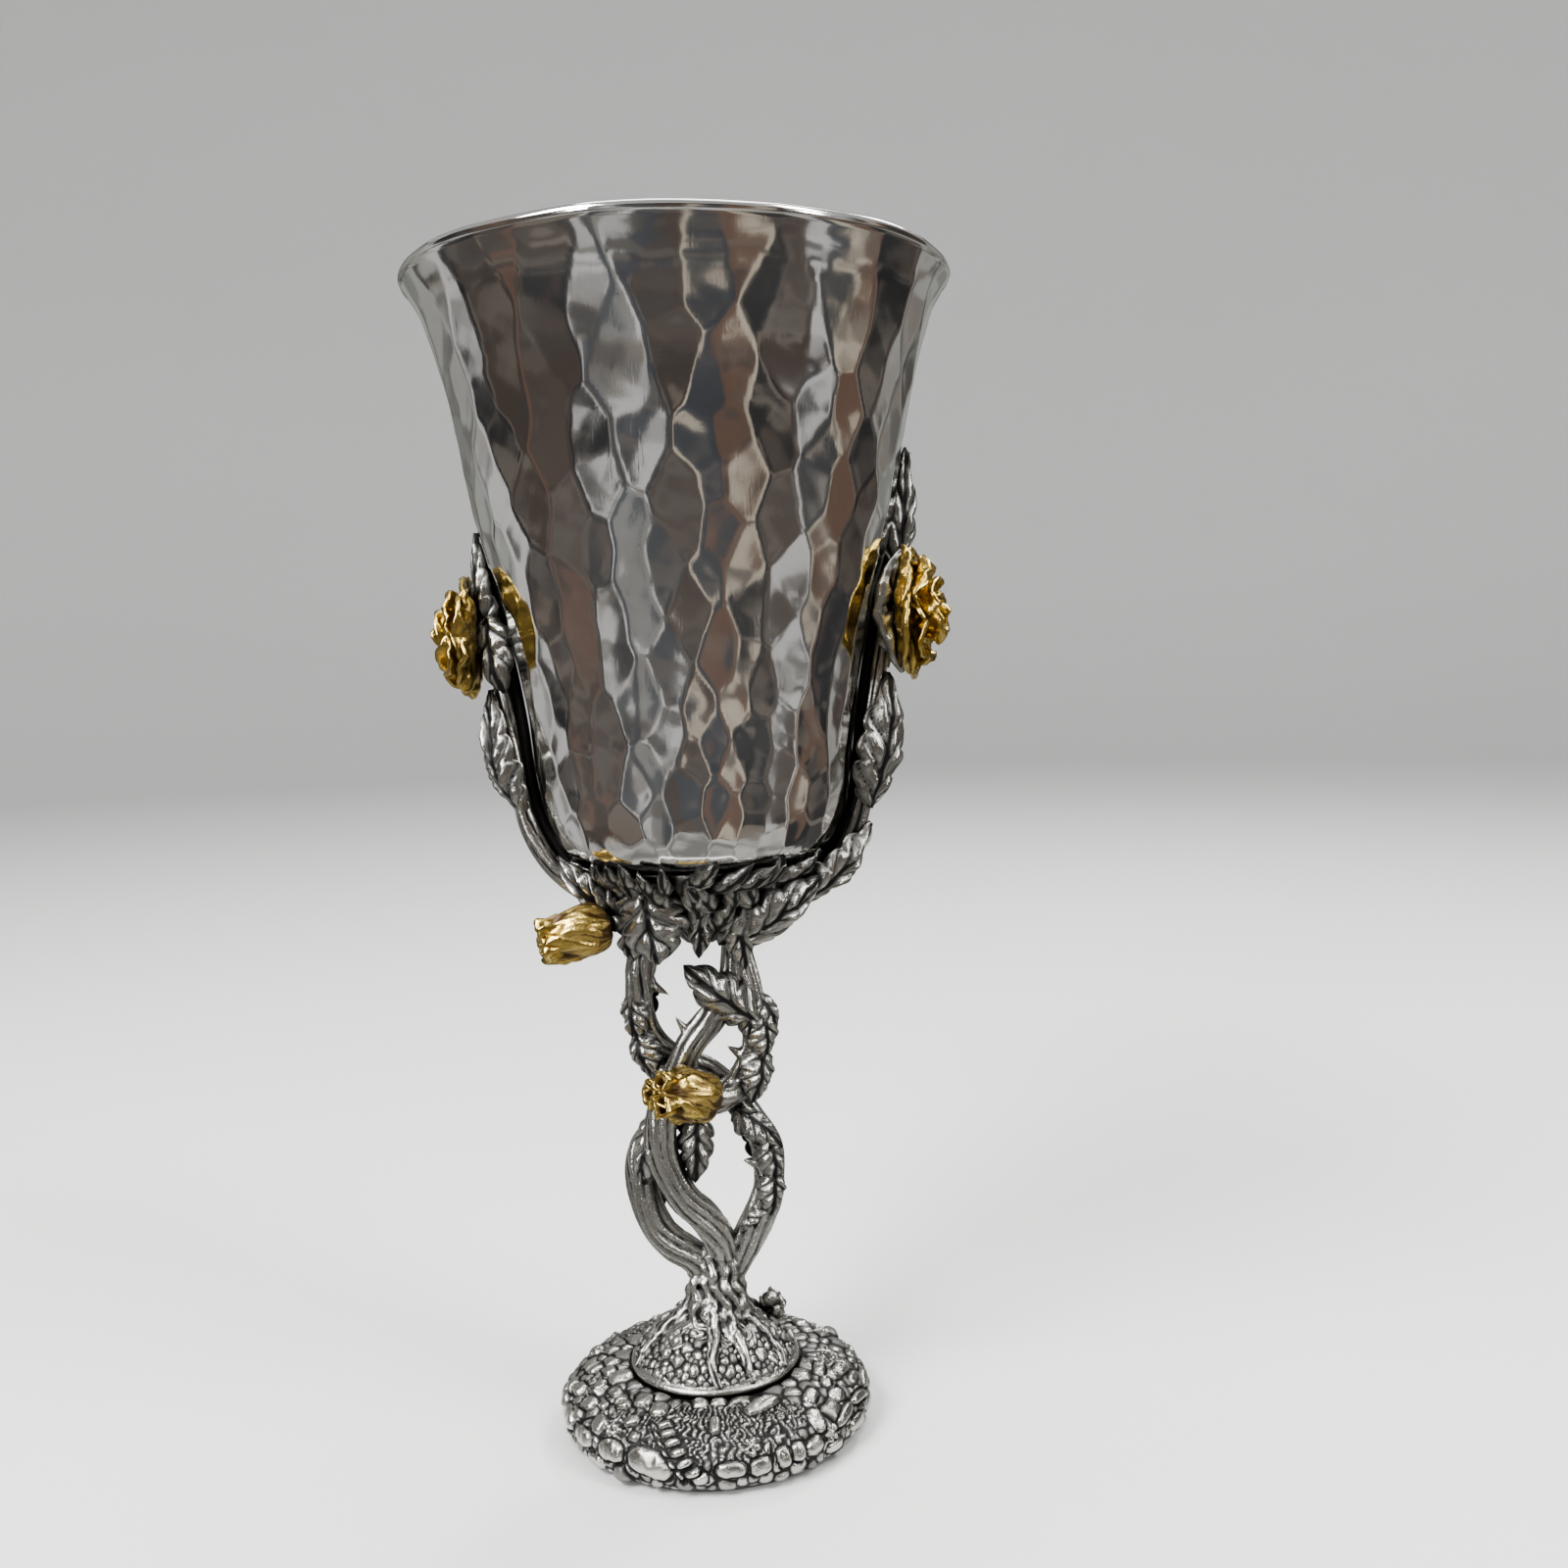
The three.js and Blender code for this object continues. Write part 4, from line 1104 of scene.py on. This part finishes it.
def flower_clump():
    """The knot of small blossoms that stands on the mound behind the trunk's right."""
    for number, (x, y, z) in enumerate(BLOSSOMS):
        points, faces, depth = bead((x, y, z), 1.15, 0.9)
        crumple = ripple(points, 1.5, 60 + number)
        yield points + 0.3 * crumple[:, None] * (points - (x, y, z)), faces, np.clip(-0.1 - crumple, 0, 1)


leaves = [leaf(*place, teeth=4, seed=number) for number, place in enumerate(VINE_LEAVES)]
piece("vine_leaves", leaves + list(flower_clump()), ANTIQUE_SILVER, "antique_silver", "rose_bush_stem")

# %% [markdown]
# ## The crown
#
# Under the beaker the vines open into a crown. Its core is a cone of narrow sepals with dark gaps
# between them, three rows of small leaves lie on it, the top row against the beaker's bottom edge,
# and broad leaves lie over them at the front and, plainer, behind. The core is a loft whose radius
# goes in and out round the ring, once for each sepal.

# %% Build the crown's core and its tips
SEPALS = 22
CORE_OUTLINE = [
    (2.6, 71.6), (5.6, 74.2), (9.0, 77.2), (12.2, 80.6), (15.2, 82.9), (15.6, 83.4), (14, 83.55),
]


def crown_core():
    rows = 52
    turn = round_turn(18 * SEPALS)
    path = smooth_path([(r, 0, z) for r, z in CORE_OUTLINE], rows)
    share = np.linspace(0, 1, rows)[:, None]
    sway = 0.25 * ripple(round_ring(6, 12 * share, turn), 5, 70)
    rib = np.abs(np.cos(SEPALS / 2 * (turn + 0.12 * sway))) ** 0.5
    radius = path[:, :1] + (1.0 * rib - 1.5 + 0.12 * sway) * smooth(1, 0.82, share)
    return loft(round_ring(radius, path[:, 2:], turn), 1.25 * (1 - rib) ** 0.8 + 0.4)


CROWN_ROWS = [  # how many leaves, (radius, height) of their stalks and of their tips, width, lean
    (34, (13.4, 81.0), (18.5, 85.3), 2.9, 0.16),
    (23, (10.8, 78.0), (15.6, 83.3), 3.7, -0.14),
    (15, (7.6, 74.2), (12.4, 80.2), 4.6, 0.12),
]


def crown_tips():
    """Three rows of small leaves round the core. The top row hugs the beaker's bottom edge."""
    rng = np.random.default_rng(77)
    for count, low, high, width, lean in CROWN_ROWS:
        for number in range(count):
            turn = (number + rng.uniform(-0.2, 0.2)) * TURN / count
            far = turn + lean + rng.uniform(-0.2, 0.2)
            drop = rng.uniform(-1.5, 0.2)
            stalk = (low[0] * math.cos(turn), low[0] * math.sin(turn), low[1])
            tip = (high[0] * math.cos(far), high[0] * math.sin(far), high[1] + drop)
            out = (math.cos(turn), math.sin(turn), -0.9)
            wide, arch = width * rng.uniform(0.8, 1.3), rng.uniform(0.04, 0.18)
            yield leaf(stalk, tip, out, wide, arch, 3, number, rows=22, columns=15, wrap=0.9, puff=0.6)


FRONT_LEAVES = [  # stalk, tip, facing, width, arch, teeth
    ((-7.6, -9.2, 82.2), (-6.0, -11.0, 70.6), (-0.2, -1, -0.1), 12.0, 0.1, 4),
    ((2.4, -5.8, 72.4), (17.0, -8.8, 81.2), (0.3, -1, -0.5), 9.4, 0.14, 5),
    ((12.4, -5.2, 77.6), (25.4, -3.8, 88), (0.5, -0.8, -0.6), 7.4, 0.14, 5),
    ((-9.6, -5, 76.4), (-20, -5.6, 85), (-0.4, -0.9, -0.5), 5.2, 0.14, 5),
    ((0.6, -9.2, 80.2), (-0.4, -8.6, 70.6), (0, -1, -0.2), 4.4, 0.1, 4),
    ((4.2, -7.2, 77.6), (6.4, -6.6, 68.4), (0.4, -1, -0.2), 4.6, 0.12, 4),
    ((-9.4, -5.4, 77.4), (-10.2, -3.2, 69.4), (-0.8, -0.8, -0.2), 4.6, 0.12, 4),
]


def crown_leaves():
    for number, place in enumerate(FRONT_LEAVES):
        yield leaf(*place, seed=20 + number, rows=60, columns=33, wrap=0.8, puff=0.95)
    for number, degrees in enumerate((20, 55, 90, 125, 160)):
        c, s = math.cos(math.radians(degrees)), math.sin(math.radians(degrees))
        yield leaf((7 * c, 7 * s, 71.4), (18 * c, 18 * s, 83.4), (c, s, -0.8), 8.6, 0.08, seed=30 + number)


piece("crown_core", [crown_core()] + list(crown_tips()), ANTIQUE_SILVER, "antique_silver", "rose_bush_stem")
piece("crown_leaves", list(crown_leaves()), ANTIQUE_SILVER, "antique_silver", "rose_bush_stem")

# %% [markdown]
# ## The climbing branches
#
# Two thin branches follow the beaker's sides. Each carries a leaf low down, curved sepals behind its
# rose and a pointed leaf above it. The edge that faces the beaker is painted black as painted shade.
# It is a shaft of its own, a thin web that keeps to the wall's outline and closes the gap, because a
# shadow alone would be too pale there.

# %% Grow the two branches
BRANCHES = [
    [(-9, -3, 76), (-15.4, -3.4, 79.6), (-20.6, -3.2, 83.8), (-23.6, -2.8, 89.2), (-25, -2.2, 96),
     (-26, -1.8, 104), (-27.3, -1.2, 112), (-28.6, -0.8, 120), (-29.6, -0.6, 126)],
    [(9, -3, 75.4), (15.6, -3.2, 79), (20.6, -3, 83.8), (23.6, -2.6, 90), (25, -2.2, 98),
     (26.2, -1.8, 106), (27.6, -1.2, 114), (29, -0.8, 122), (30.6, -0.6, 130)],
]
BRANCH_LEAVES = [  # stalk, tip, facing, width, arch, teeth
    ((-24.6, -3.2, 91), (-28.6, -2.8, 109.0), (-0.7, -0.7, 0), 6.6, 0.1, 5),
    ((-28.2, -3.4, 119.4), (-26.4, -5.0, 108.6), (-0.35, -0.9, 0), 6.2, 0.08, 3),
    ((-28.2, -1.8, 116), (-29.9, -1.4, 131), (-0.7, -0.7, 0), 4.2, 0.04, 4),
    ((24.6, -3.4, 90.6), (28.4, -3, 109.8), (0.5, -0.8, 0), 8.4, 0.1, 5),
    ((29.4, -1.8, 122.6), (31.6, -1.6, 141.6), (0.3, -0.95, 0), 5.6, 0.04, 4),
]
ROSE_SEPALS = [  # stalk, tip, facing, width, thickness, arch
    ((28.6, 2.6, 110.4), (29, 2.8, 125), (-0.6, 1, 0), 4.2, 0.8, 0.06),
    ((-28.4, 2.6, 109.6), (-28.8, 2.8, 123), (0.6, 1, 0), 4.2, 0.8, 0.06),
]
CRESCENT = [
    (30.0, -4.2, 109.8), (28.2, -4.6, 113.6), (27.3, -4.8, 118.2), (28.0, -4.8, 122.8),
    (30.2, -4.6, 126.8),
]
# Dark webs behind the leaf blades: painted shade beside the beaker.
BLADE_SHADE_WEBS = [
    [(-26.4, -1.2, 112), (-27.9, -1.4, 121), (-28.9, -1.4, 129.5)],
    [(28.4, -1.4, 122), (29.2, -1.8, 131), (30.8, -1.4, 141)],
]
ROSE_BACK = 29.4
LEFT_ROSE = {"side": -1, "height": 116.2, "wide": 1.0, "deep": 0.88, "turn": 0}
RIGHT_ROSE = {"side": 1, "height": 118.4, "wide": 1.1, "deep": 1.1, "turn": 14}


def at_rose(points, side, height, turn, **_):
    """Points that face +Z, put where a rose sits on its branch."""
    swing = Matrix.Rotation(math.radians(-side * turn), 3, "Z")
    facing = swing @ Matrix.Rotation(side * math.pi / 2, 3, "Y")
    return points @ np.array(facing).T + [side * ROSE_BACK, -1, height]


def rose_pad(place):
    points, faces, depth = shaft([(0, 0, -3), (0, 0, -0.3)], taper(1.8, 3.2), 24, 6)
    return at_rose(points, **place), faces, depth + 0.6


def painted_shade_web(knots, size=1.2, shy=0.12, back=2.2):
    """A dark web behind a branch, beside the beaker's wall, that all but touches it: painted shade for the
    gap between them.

    size is its radius, shy the gap that it leaves to the wall, and back how far behind the knots it lies.
    """
    radii, heights = np.array(WALL_OUTLINE).T
    path = []
    for x, y, z in knots:
        reach = max(np.interp(z, heights, radii) + shy + size, math.hypot(x, y) - 2.0 * size)
        turn = math.atan2(y + back, x)
        path.append((reach * math.cos(turn), reach * math.sin(turn), z))
    points, faces, depth = shaft(path, taper(size, 0.8 * size), 14, 90)
    # The web is painted black, as painted shade.
    return points, faces, depth + 1.3


def painted_highlight(shell):
    """The same shell, lightened as a painted highlight."""
    points, faces, depth = shell
    return points, faces, depth - 0.7


def crescent_radius(share):
    return 0.3 + 1.15 * np.sin(math.pi * share) ** 0.7


def make_branches():
    # Dark webs behind the branches and the leaf blades paint the shade beside the beaker black.
    shells = [painted_shade_web(knots[1:]) for knots in BRANCHES]
    shells += [painted_shade_web(knots, 0.8, 0.2, 1.0) for knots in BLADE_SHADE_WEBS]
    for number, knots in enumerate(BRANCHES):
        shells.append(shaft(knots, taper(1.56, 0.84), 26, 200, bark(6, 0.16, 2.2, 80 + number)))
    for number, place in enumerate(BRANCH_LEAVES):
        shells.append(leaf(*place, seed=40 + number, rows=60, wrap=0.6, puff=0.8))
    shells += [sepal(*place, rows=34) for place in ROSE_SEPALS]
    # The crescent sepal is lightened as a painted highlight.
    shells.append(painted_highlight(shaft(CRESCENT, crescent_radius, 22, 60, bark(2, 0.35, 0.4, 90))))
    return shells + [rose_pad(LEFT_ROSE), rose_pad(RIGHT_ROSE)]


piece("climbing_branches", make_branches(), ANTIQUE_SILVER, "antique_silver", "rose_bush_stem")

# %% [markdown]
# ## The roses
#
# A cast rose is layers of crumpled petals round a tight heart. Each petal is a sheet, bent round the
# rose's axis and opened out by a curve from its base to its rim. The sheets are paper thin, and a
# Solidify modifier gives them the thickness of metal.

# %% Fold the petals
PETAL_LAYERS = [  # count, half spread, then (radius, height) at the base, the belly and the rim
    (5, 0.86, (2.4, 0.5), (6.6, 0.6), (8.3, 3.0)),
    (4, 1.0, (2.2, 1.4), (5.4, 2.2), (6.6, 5.1)),
    (3, 1.3, (1.4, 2.4), (3.6, 3.2), (3.9, 6.7)),
    (2, 1.8, (0.5, 3.0), (2.2, 4.4), (1.5, 7.1)),
]
PETAL_THICKNESS = 0.65


def petal(middle, spread, base, belly, rim, seed):
    """One petal as a sheet: rows from its base to its rim, columns across it."""
    rows, columns = 20, 23
    t = np.linspace(0, 1, rows)[:, None]
    v = np.linspace(-1, 1, columns)[None, :]
    reach = t * (1 - 0.26 * np.abs(v) ** 3)
    curve = [(1 - reach) ** 2 * a + 2 * reach * (1 - reach) * b + reach**2 * c
             for a, b, c in zip(base, belly, rim)]
    turn = middle + spread * v * (0.55 + 0.45 * np.sin(math.pi * 0.55 * reach))
    lip = smooth(0.72, 1, t)
    radius = curve[0] + 0.38 * v + lip * (0.35 - 0.45 * np.abs(v))
    height = curve[1] - 0.35 * lip
    sheet = round_ring(radius, height, turn)
    crumple = 0.5 * ripple(sheet, 3.8, seed) * t + 0.24 * ripple(sheet, 1.8, seed + 1) * t
    sheet[..., 2] += crumple
    sheet[..., :2] *= (1 - 0.12 * crumple * (radius > 2))[..., None]
    corners = [[r * columns + c, (r + 1) * columns + c, (r + 1) * columns + c + 1, r * columns + c + 1]
               for r in range(rows - 1) for c in range(columns - 1)]
    return sheet.reshape(-1, 3), corners, np.repeat((0.9 * (1 - t) ** 2).ravel(), columns)


def make_rose(name, place, node, seed):
    shells = []
    for layer, (count, spread, *curve) in enumerate(PETAL_LAYERS):
        for k in range(count):
            middle = k * TURN / count + 0.7 * layer + 0.12 * math.sin(9 * k + seed)
            shells.append(petal(middle, spread, *curve, seed + 10 * layer + k))
    stretch = [place["wide"], place["wide"], place["deep"]]
    scaled = [(at_rose(points * stretch, **place), faces, depth) for points, faces, depth in shells]
    rose = piece(name, scaled, GOLD, "gold_plate", node)
    thicken = rose.modifiers.new("metal thickness", "SOLIDIFY")
    thicken.thickness = PETAL_THICKNESS * MM
    thicken.offset = 0


make_rose("left_rose_petals", LEFT_ROSE, "left_rose", 100)
make_rose("right_rose_petals", RIGHT_ROSE, "right_rose", 200)

# %% [markdown]
# ## The buds
#
# A half-open bud is an egg of wrapped petals whose tip has just begun to ruffle. The egg is lofted
# from its stalk, over the ruffled edge and back down into the hollow at its tip. Small cups in the
# hollow make the dark holes that show between the petals.

# %% Wrap the buds
BUD_OUTLINE = [
    (0.3, 0), (0.74, 0.1), (1, 0.34), (0.96, 0.6), (0.76, 0.84), (0.66, 1.0), (0.46, 1.0), (0.36, 0.82),
    (0.18, 0.74),
]


def bud_body(length, radius, seed):
    rows, sides = 60, 84
    path = smooth_path([(wide, 0, along) for wide, along in BUD_OUTLINE], rows)
    wide, along = path[:, :1], path[:, 2:]
    turn = round_turn(sides)
    wrap = ((5 / TURN) * (turn + 1.3 * along)) % 1
    wrap = np.minimum(1, 9 * wrap) * (1 - 0.75 * wrap)
    share = np.linspace(0, 1, rows)[:, None]
    ruffle = smooth(0.45, 0.72, share)
    place = round_ring(2, 3 * along, turn)
    crease = ripple(place, 1.5, seed)
    streak = np.abs(np.sin(9 * turn + 2.2 * along + 1.6 * crease))
    size = radius * (wide + 0.22 * (wrap - 0.5) * np.minimum(1, 3 * share)) + 0.26 * crease
    frill = 0.4 * np.sin(7 * turn + 3 * crease) + 0.3 * ripple(place, 0.9, seed + 1)
    size += 0.16 * (streak - 0.6) * (1 - ruffle) + ruffle * frill
    rise = length * along + ruffle * 0.55 * np.sin(5 * turn + seed + 1.5 * crease)
    rings = np.stack([size * np.cos(turn), rise, size * np.sin(turn)], -1)
    hollow_and_painted_light = 1.3 * np.clip(0.6 - wrap, 0, 1) * (1 - 0.5 * ruffle) + 1.2 * smooth(0.8, 0.95, share)
    hollow_and_painted_light += 1.3 * np.clip(-crease - 0.05, 0, 0.8)
    hollow_and_painted_light += (1.5 * np.clip(0.5 - streak, 0, 1) + 0.2) * (1 - ruffle)
    hollow_and_painted_light += 0.3 * smooth(0.5, 0.05, share)
    return loft(rings, hollow_and_painted_light)


CUP_OUTLINE = [  # share of the radius, height over the bud's tip, hollow
    (0.6, -2.6, 0), (0.8, -1.2, 0), (1.0, 0, 0), (0.86, 0.12, 0), (0.62, -0.1, 0.7), (0.5, -1.2, 1.4),
    (0.3, -1.9, 1.4),
]
BUD_CUPS = [(-0.42, 0.36, 0.5), (0.44, 0.2, 0.46), (-0.02, -0.5, 0.46), (0.02, 0.02, 0.3)]  # x, z, radius


def bud_cup(x, z, length, radius, seed):
    """A small ruffled cup: up its outside, over the lip and down into a dark hole."""
    turn = round_turn(28)
    rings, hollow_and_painted_light = [], []
    for wide, rise, dark in CUP_OUTLINE:
        size = radius * wide * (1 + 0.12 * np.sin(4 * turn + seed))
        lift = length + rise + 0.16 * np.sin(3 * turn + 2 * seed)
        rings.append(np.stack([x + size * np.cos(turn), lift, z + size * np.sin(turn)], -1)[0])
        hollow_and_painted_light.append([dark])
    return loft(rings, np.array(hollow_and_painted_light))


def make_bud(name, node, stalk, tip, radius, seed):
    length = math.dist(stalk, tip)
    shells = [bud_body(length, radius, seed)]
    for x, z, size in BUD_CUPS:
        shells.append(bud_cup(x * radius, z * radius, length + 0.3 + 0.3 * x, size * radius, seed + 5 * x))
    placed = [(aimed(points, stalk, tip, (0, -1, 0.2)), faces, depth) for points, faces, depth in shells]
    piece(name, placed, GOLD, "gold_plate", node)


make_bud("crown_bud_petals", "crown_bud", (-12.4, -7.6, 75.8), (-21.8, -9.4, 74.4), 3.6, 3)
make_bud("stem_bud_petals", "stem_bud", (1.4, -5.6, 50), (-6.8, -11.2, 52.6), 3.7, 8)

# %% [markdown]
# ## The studio
#
# Polished silver shows nothing but its surroundings, so most of the work in lighting it is choosing
# what it sees. The floor is pale and sweeps up into a wall on every side. Round the cup stands a dim
# screen, on the table and upright, painted in uprights of brown, black and cream in front and of pale
# greys behind, as a room has doors and curtains: every hammered dish picks up another piece of it. A
# second sheet lies close round the foot and glows a dull grey, a painted reflection of darker ground
# than the pale floor it lies on. Both glow and show in reflections only, as painted reflections. They
# could be a picture wrapped round the scene, but a few bands are enough and stay sharp.

# %% Turn a sheet about the cup's axis


def turned_sheet(name, profile, start, end, steps, material):
    """A stage sheet turned about the cup's axis: its profile in metres, its angles in degrees."""
    turns = np.radians(np.linspace(start, end, steps + 1))
    points = [(r * math.sin(turn), -r * math.cos(turn), z) for turn in turns for r, z in profile]
    rows = len(profile)
    faces = [[k * rows + j, k * rows + j + 1, (k + 1) * rows + j + 1, (k + 1) * rows + j]
             for k in range(steps) for j in range(rows - 1)]
    mesh = bpy.data.meshes.new(name)
    mesh.from_pydata(points, [], faces)
    mesh.shade_smooth()
    mesh.materials.append(material)
    sheet = put_in_scene(name, mesh)
    return sheet


def pale_paper():
    material, tree, shader = new_material("pale paper")
    shader.inputs["Roughness"].default_value = 0.9
    cloud = add(tree, "TexNoise", Scale=3.0, Detail=2.0).outputs["Fac"]
    feed(tree, shader.inputs["Base Color"], mix_colour(tree, cloud, (0.76, 0.76, 0.75), (0.8, 0.8, 0.79)))
    return material


SWEEP = [(0.0, 0), (1.4, 0), (1.6, 0.04), (1.77, 0.14), (1.87, 0.3), (1.9, 0.5), (1.9, 1.5)]
turned_sheet("floor", SWEEP, -180, 180, 64, pale_paper())
print(f"the floor reaches {SWEEP[-1][0]} m from the cup")

# %% Paint what the silver sees
ROOM_COLOURS = {
    "black": (0.016, 0.017, 0.02), "slate": (0.05, 0.055, 0.065), "umber": (0.065, 0.05, 0.043),
    "brown": (0.13, 0.082, 0.062), "grey": (0.2, 0.2, 0.195), "cream": (0.46, 0.41, 0.34),
    "pale": (0.5, 0.5, 0.5), "mist": (0.32, 0.325, 0.31), "fog": (0.2, 0.205, 0.195),
}
ROOM_BANDS = [  # where each upright begins, in degrees to the right of the camera
    (-108, "black"), (-97, "umber"), (-80, "brown"), (-70, "umber"), (-54, "black"), (-47, "pale"),
    (-42, "slate"), (-32, "grey"), (-26, "pale"), (-22, "slate"), (-8, "umber"), (4, "cream"),
    (8, "slate"), (16, "brown"), (28, "cream"), (34, "black"), (46, "umber"), (60, "pale"),
    (70, "slate"), (76, "cream"), (84, "brown"), (93, "black"), (106, "umber"), (118, "mist"),
    (134, "fog"), (143, "mist"), (165, "pale"), (-172, "mist"), (-150, "fog"), (-140, "mist"),
    (-122, "pale"),
]


def glowing(name):
    """A material that gives off its own light and reflects none."""
    material, tree, shader = new_material(name)
    shader.inputs["Base Color"].default_value = (0, 0, 0, 1)
    shader.inputs["Roughness"].default_value = 1.0
    shader.inputs["Emission Strength"].default_value = 1.0
    return material, tree, shader


def painted_room():
    """Uprights of colour round the cup's axis, with wavering edges and soft blotches."""
    material, tree, shader = glowing("dim room")
    place = object_place(tree)
    turned = add(tree, "Mapping")
    turned.inputs["Rotation"].default_value = (0, 0, math.pi / 2)
    feed(tree, turned.inputs["Vector"], place)
    angle = add(tree, "TexGradient", gradient_type="RADIAL")
    feed(tree, angle.inputs["Vector"], turned.outputs["Vector"])
    waver = noise(tree, place, 6.0, Detail=4.0)
    shift = maths(tree, "MULTIPLY", maths(tree, "SUBTRACT", waver, 0.5), 0.05)
    bands = add(tree, "ValToRGB")
    feed(tree, bands.inputs["Fac"], maths(tree, "ADD", angle.outputs["Fac"], shift))
    ramp = bands.color_ramp
    ramp.interpolation = "CONSTANT"
    ramp.elements.remove(ramp.elements[-1])
    ramp.elements[0].color = (*ROOM_COLOURS["pale"], 1)
    for degrees, colour in ROOM_BANDS:
        stop = ramp.elements.new(0.5 + degrees / 360)
        stop.color = (*ROOM_COLOURS[colour], 1)
    clutter = add(tree, "TexVoronoi", Scale=16.0, Randomness=1.0)
    feed(tree, clutter.inputs["Vector"], place)
    chance = add(tree, "SeparateColor")
    feed(tree, chance.inputs["Color"], clutter.outputs["Color"])
    amount = remap(tree, chance.outputs[0], 0.45, 0.95)
    things = mix_colour(tree, chance.outputs[1], (0.03, 0.03, 0.034), (0.2, 0.175, 0.15))
    feed(tree, shader.inputs["Emission Color"], mix_colour(tree, amount, bands.outputs["Color"], things))
    return material


def painted_ground_reflection():
    """A painted reflection of the ground close to the foot, in two greys."""
    material, tree, shader = glowing("painted ground reflection")
    amount = remap(tree, noise(tree, object_place(tree), 30.0, Detail=2.0), 0.4, 0.6)
    greys = mix_colour(tree, amount, (0.2, 0.2, 0.19), (0.5, 0.5, 0.48))
    feed(tree, shader.inputs["Emission Color"], greys)
    return material


# %% Stand the screens
SCREEN = [(0.1, 0.0015), (0.6, 0.0015), (0.7, 0.04), (0.74, 0.12), (0.75, 0.6)]
NEAR_GROUND = [(0.029, 0.0012), (0.06, 0.0012), (0.1, 0.0012)]
for sheet in (turned_sheet("room_screen", SCREEN, -180, 180, 96, painted_room()),
              turned_sheet("near_screen", NEAR_GROUND, -180, 180, 48, painted_ground_reflection())):
    sheet.visible_camera = sheet.visible_diffuse = sheet.visible_shadow = False
print(f"the room has {len(ROOM_BANDS)} uprights")

# %% Hang the lights


def softbox(name, place, aim_height, width, height, power):
    """A soft lamp that faces the cup's axis. Its power is in watts."""
    light = bpy.data.lights.new(name, "AREA")
    light.shape = "RECTANGLE"
    light.size, light.size_y = width, height
    light.energy = power
    lamp = put_in_scene(name, light)
    lamp.location = place
    toward = Vector((0, 0, aim_height)) - Vector(place)
    lamp.rotation_euler = toward.to_track_quat("-Z", "Y").to_euler()


SOFTBOXES = [  # name, place, height that it faces, width, height, power
    ("overhead", (0.05, 0.15, 0.9), 0.08, 0.6, 0.6, 3.8),
    ("left window", (-0.5, -0.35, 0.7), 0.08, 0.25, 0.4, 6),
    ("right fill", (0.5, -0.3, 0.75), 0.08, 0.2, 0.3, 3),
    ("left sparkle", (-0.32, -0.42, 0.58), 0.08, 0.12, 0.12, 2.2),
    ("low left window", (-0.34, -0.46, 0.24), 0.06, 0.1, 0.2, 1.4),
    ("low right window", (0.46, -0.34, 0.26), 0.06, 0.08, 0.2, 1.0),
    ("back sparkle", (0.3, 0.4, 0.6), 0.08, 0.12, 0.12, 1.6),
]
for box in SOFTBOXES:
    softbox(*box)
print(f"{len(SOFTBOXES)} softboxes give {sum(box[-1] for box in SOFTBOXES):.1f} W")

bpy.context.scene.view_settings.look = "AgX - Medium High Contrast"

world = bpy.data.worlds.new("studio")
bpy.context.scene.world = world
world.use_nodes = True
sky = world.node_tree.nodes["Background"]
sky.inputs["Color"].default_value = (0.8, 0.81, 0.82, 1)
sky.inputs["Strength"].default_value = 0.5

# %% [markdown]
# ## The camera
#
# The camera stands a hand's length in front of the cup, a little below its rim, and looks slightly
# down. So close, the lens is a wide one, and the foot is seen from above while the rim is seen almost
# edge on.

# %% Place the camera
CAMERA_PLACE = (0, -0.2089, 0.1112)
LENS, SENSOR = 33.3, 36  # in millimetres
CAMERA_TURN = (3.51, -4.67, -1.77)  # yaw to the right, pitch up and roll, in degrees

camera_data = bpy.data.cameras.new("camera")
camera_data.lens = LENS
camera_data.sensor_width = SENSOR
camera = put_in_scene("camera", camera_data)
yaw, pitch, roll = (math.radians(degrees) for degrees in CAMERA_TURN)
ahead = Vector((math.sin(yaw) * math.cos(pitch), math.cos(yaw) * math.cos(pitch), math.sin(pitch)))
level = Vector((math.cos(yaw), -math.sin(yaw), 0))
upright = level.cross(ahead)
right = math.cos(roll) * level + math.sin(roll) * upright
up = -math.sin(roll) * level + math.cos(roll) * upright
axes = Matrix((right, up, -ahead)).transposed().to_4x4()
camera.matrix_world = Matrix.Translation(CAMERA_PLACE) @ axes
bpy.context.scene.camera = camera
print(f"the camera is {math.hypot(*CAMERA_PLACE[:2]):.3f} m from the cup's axis")
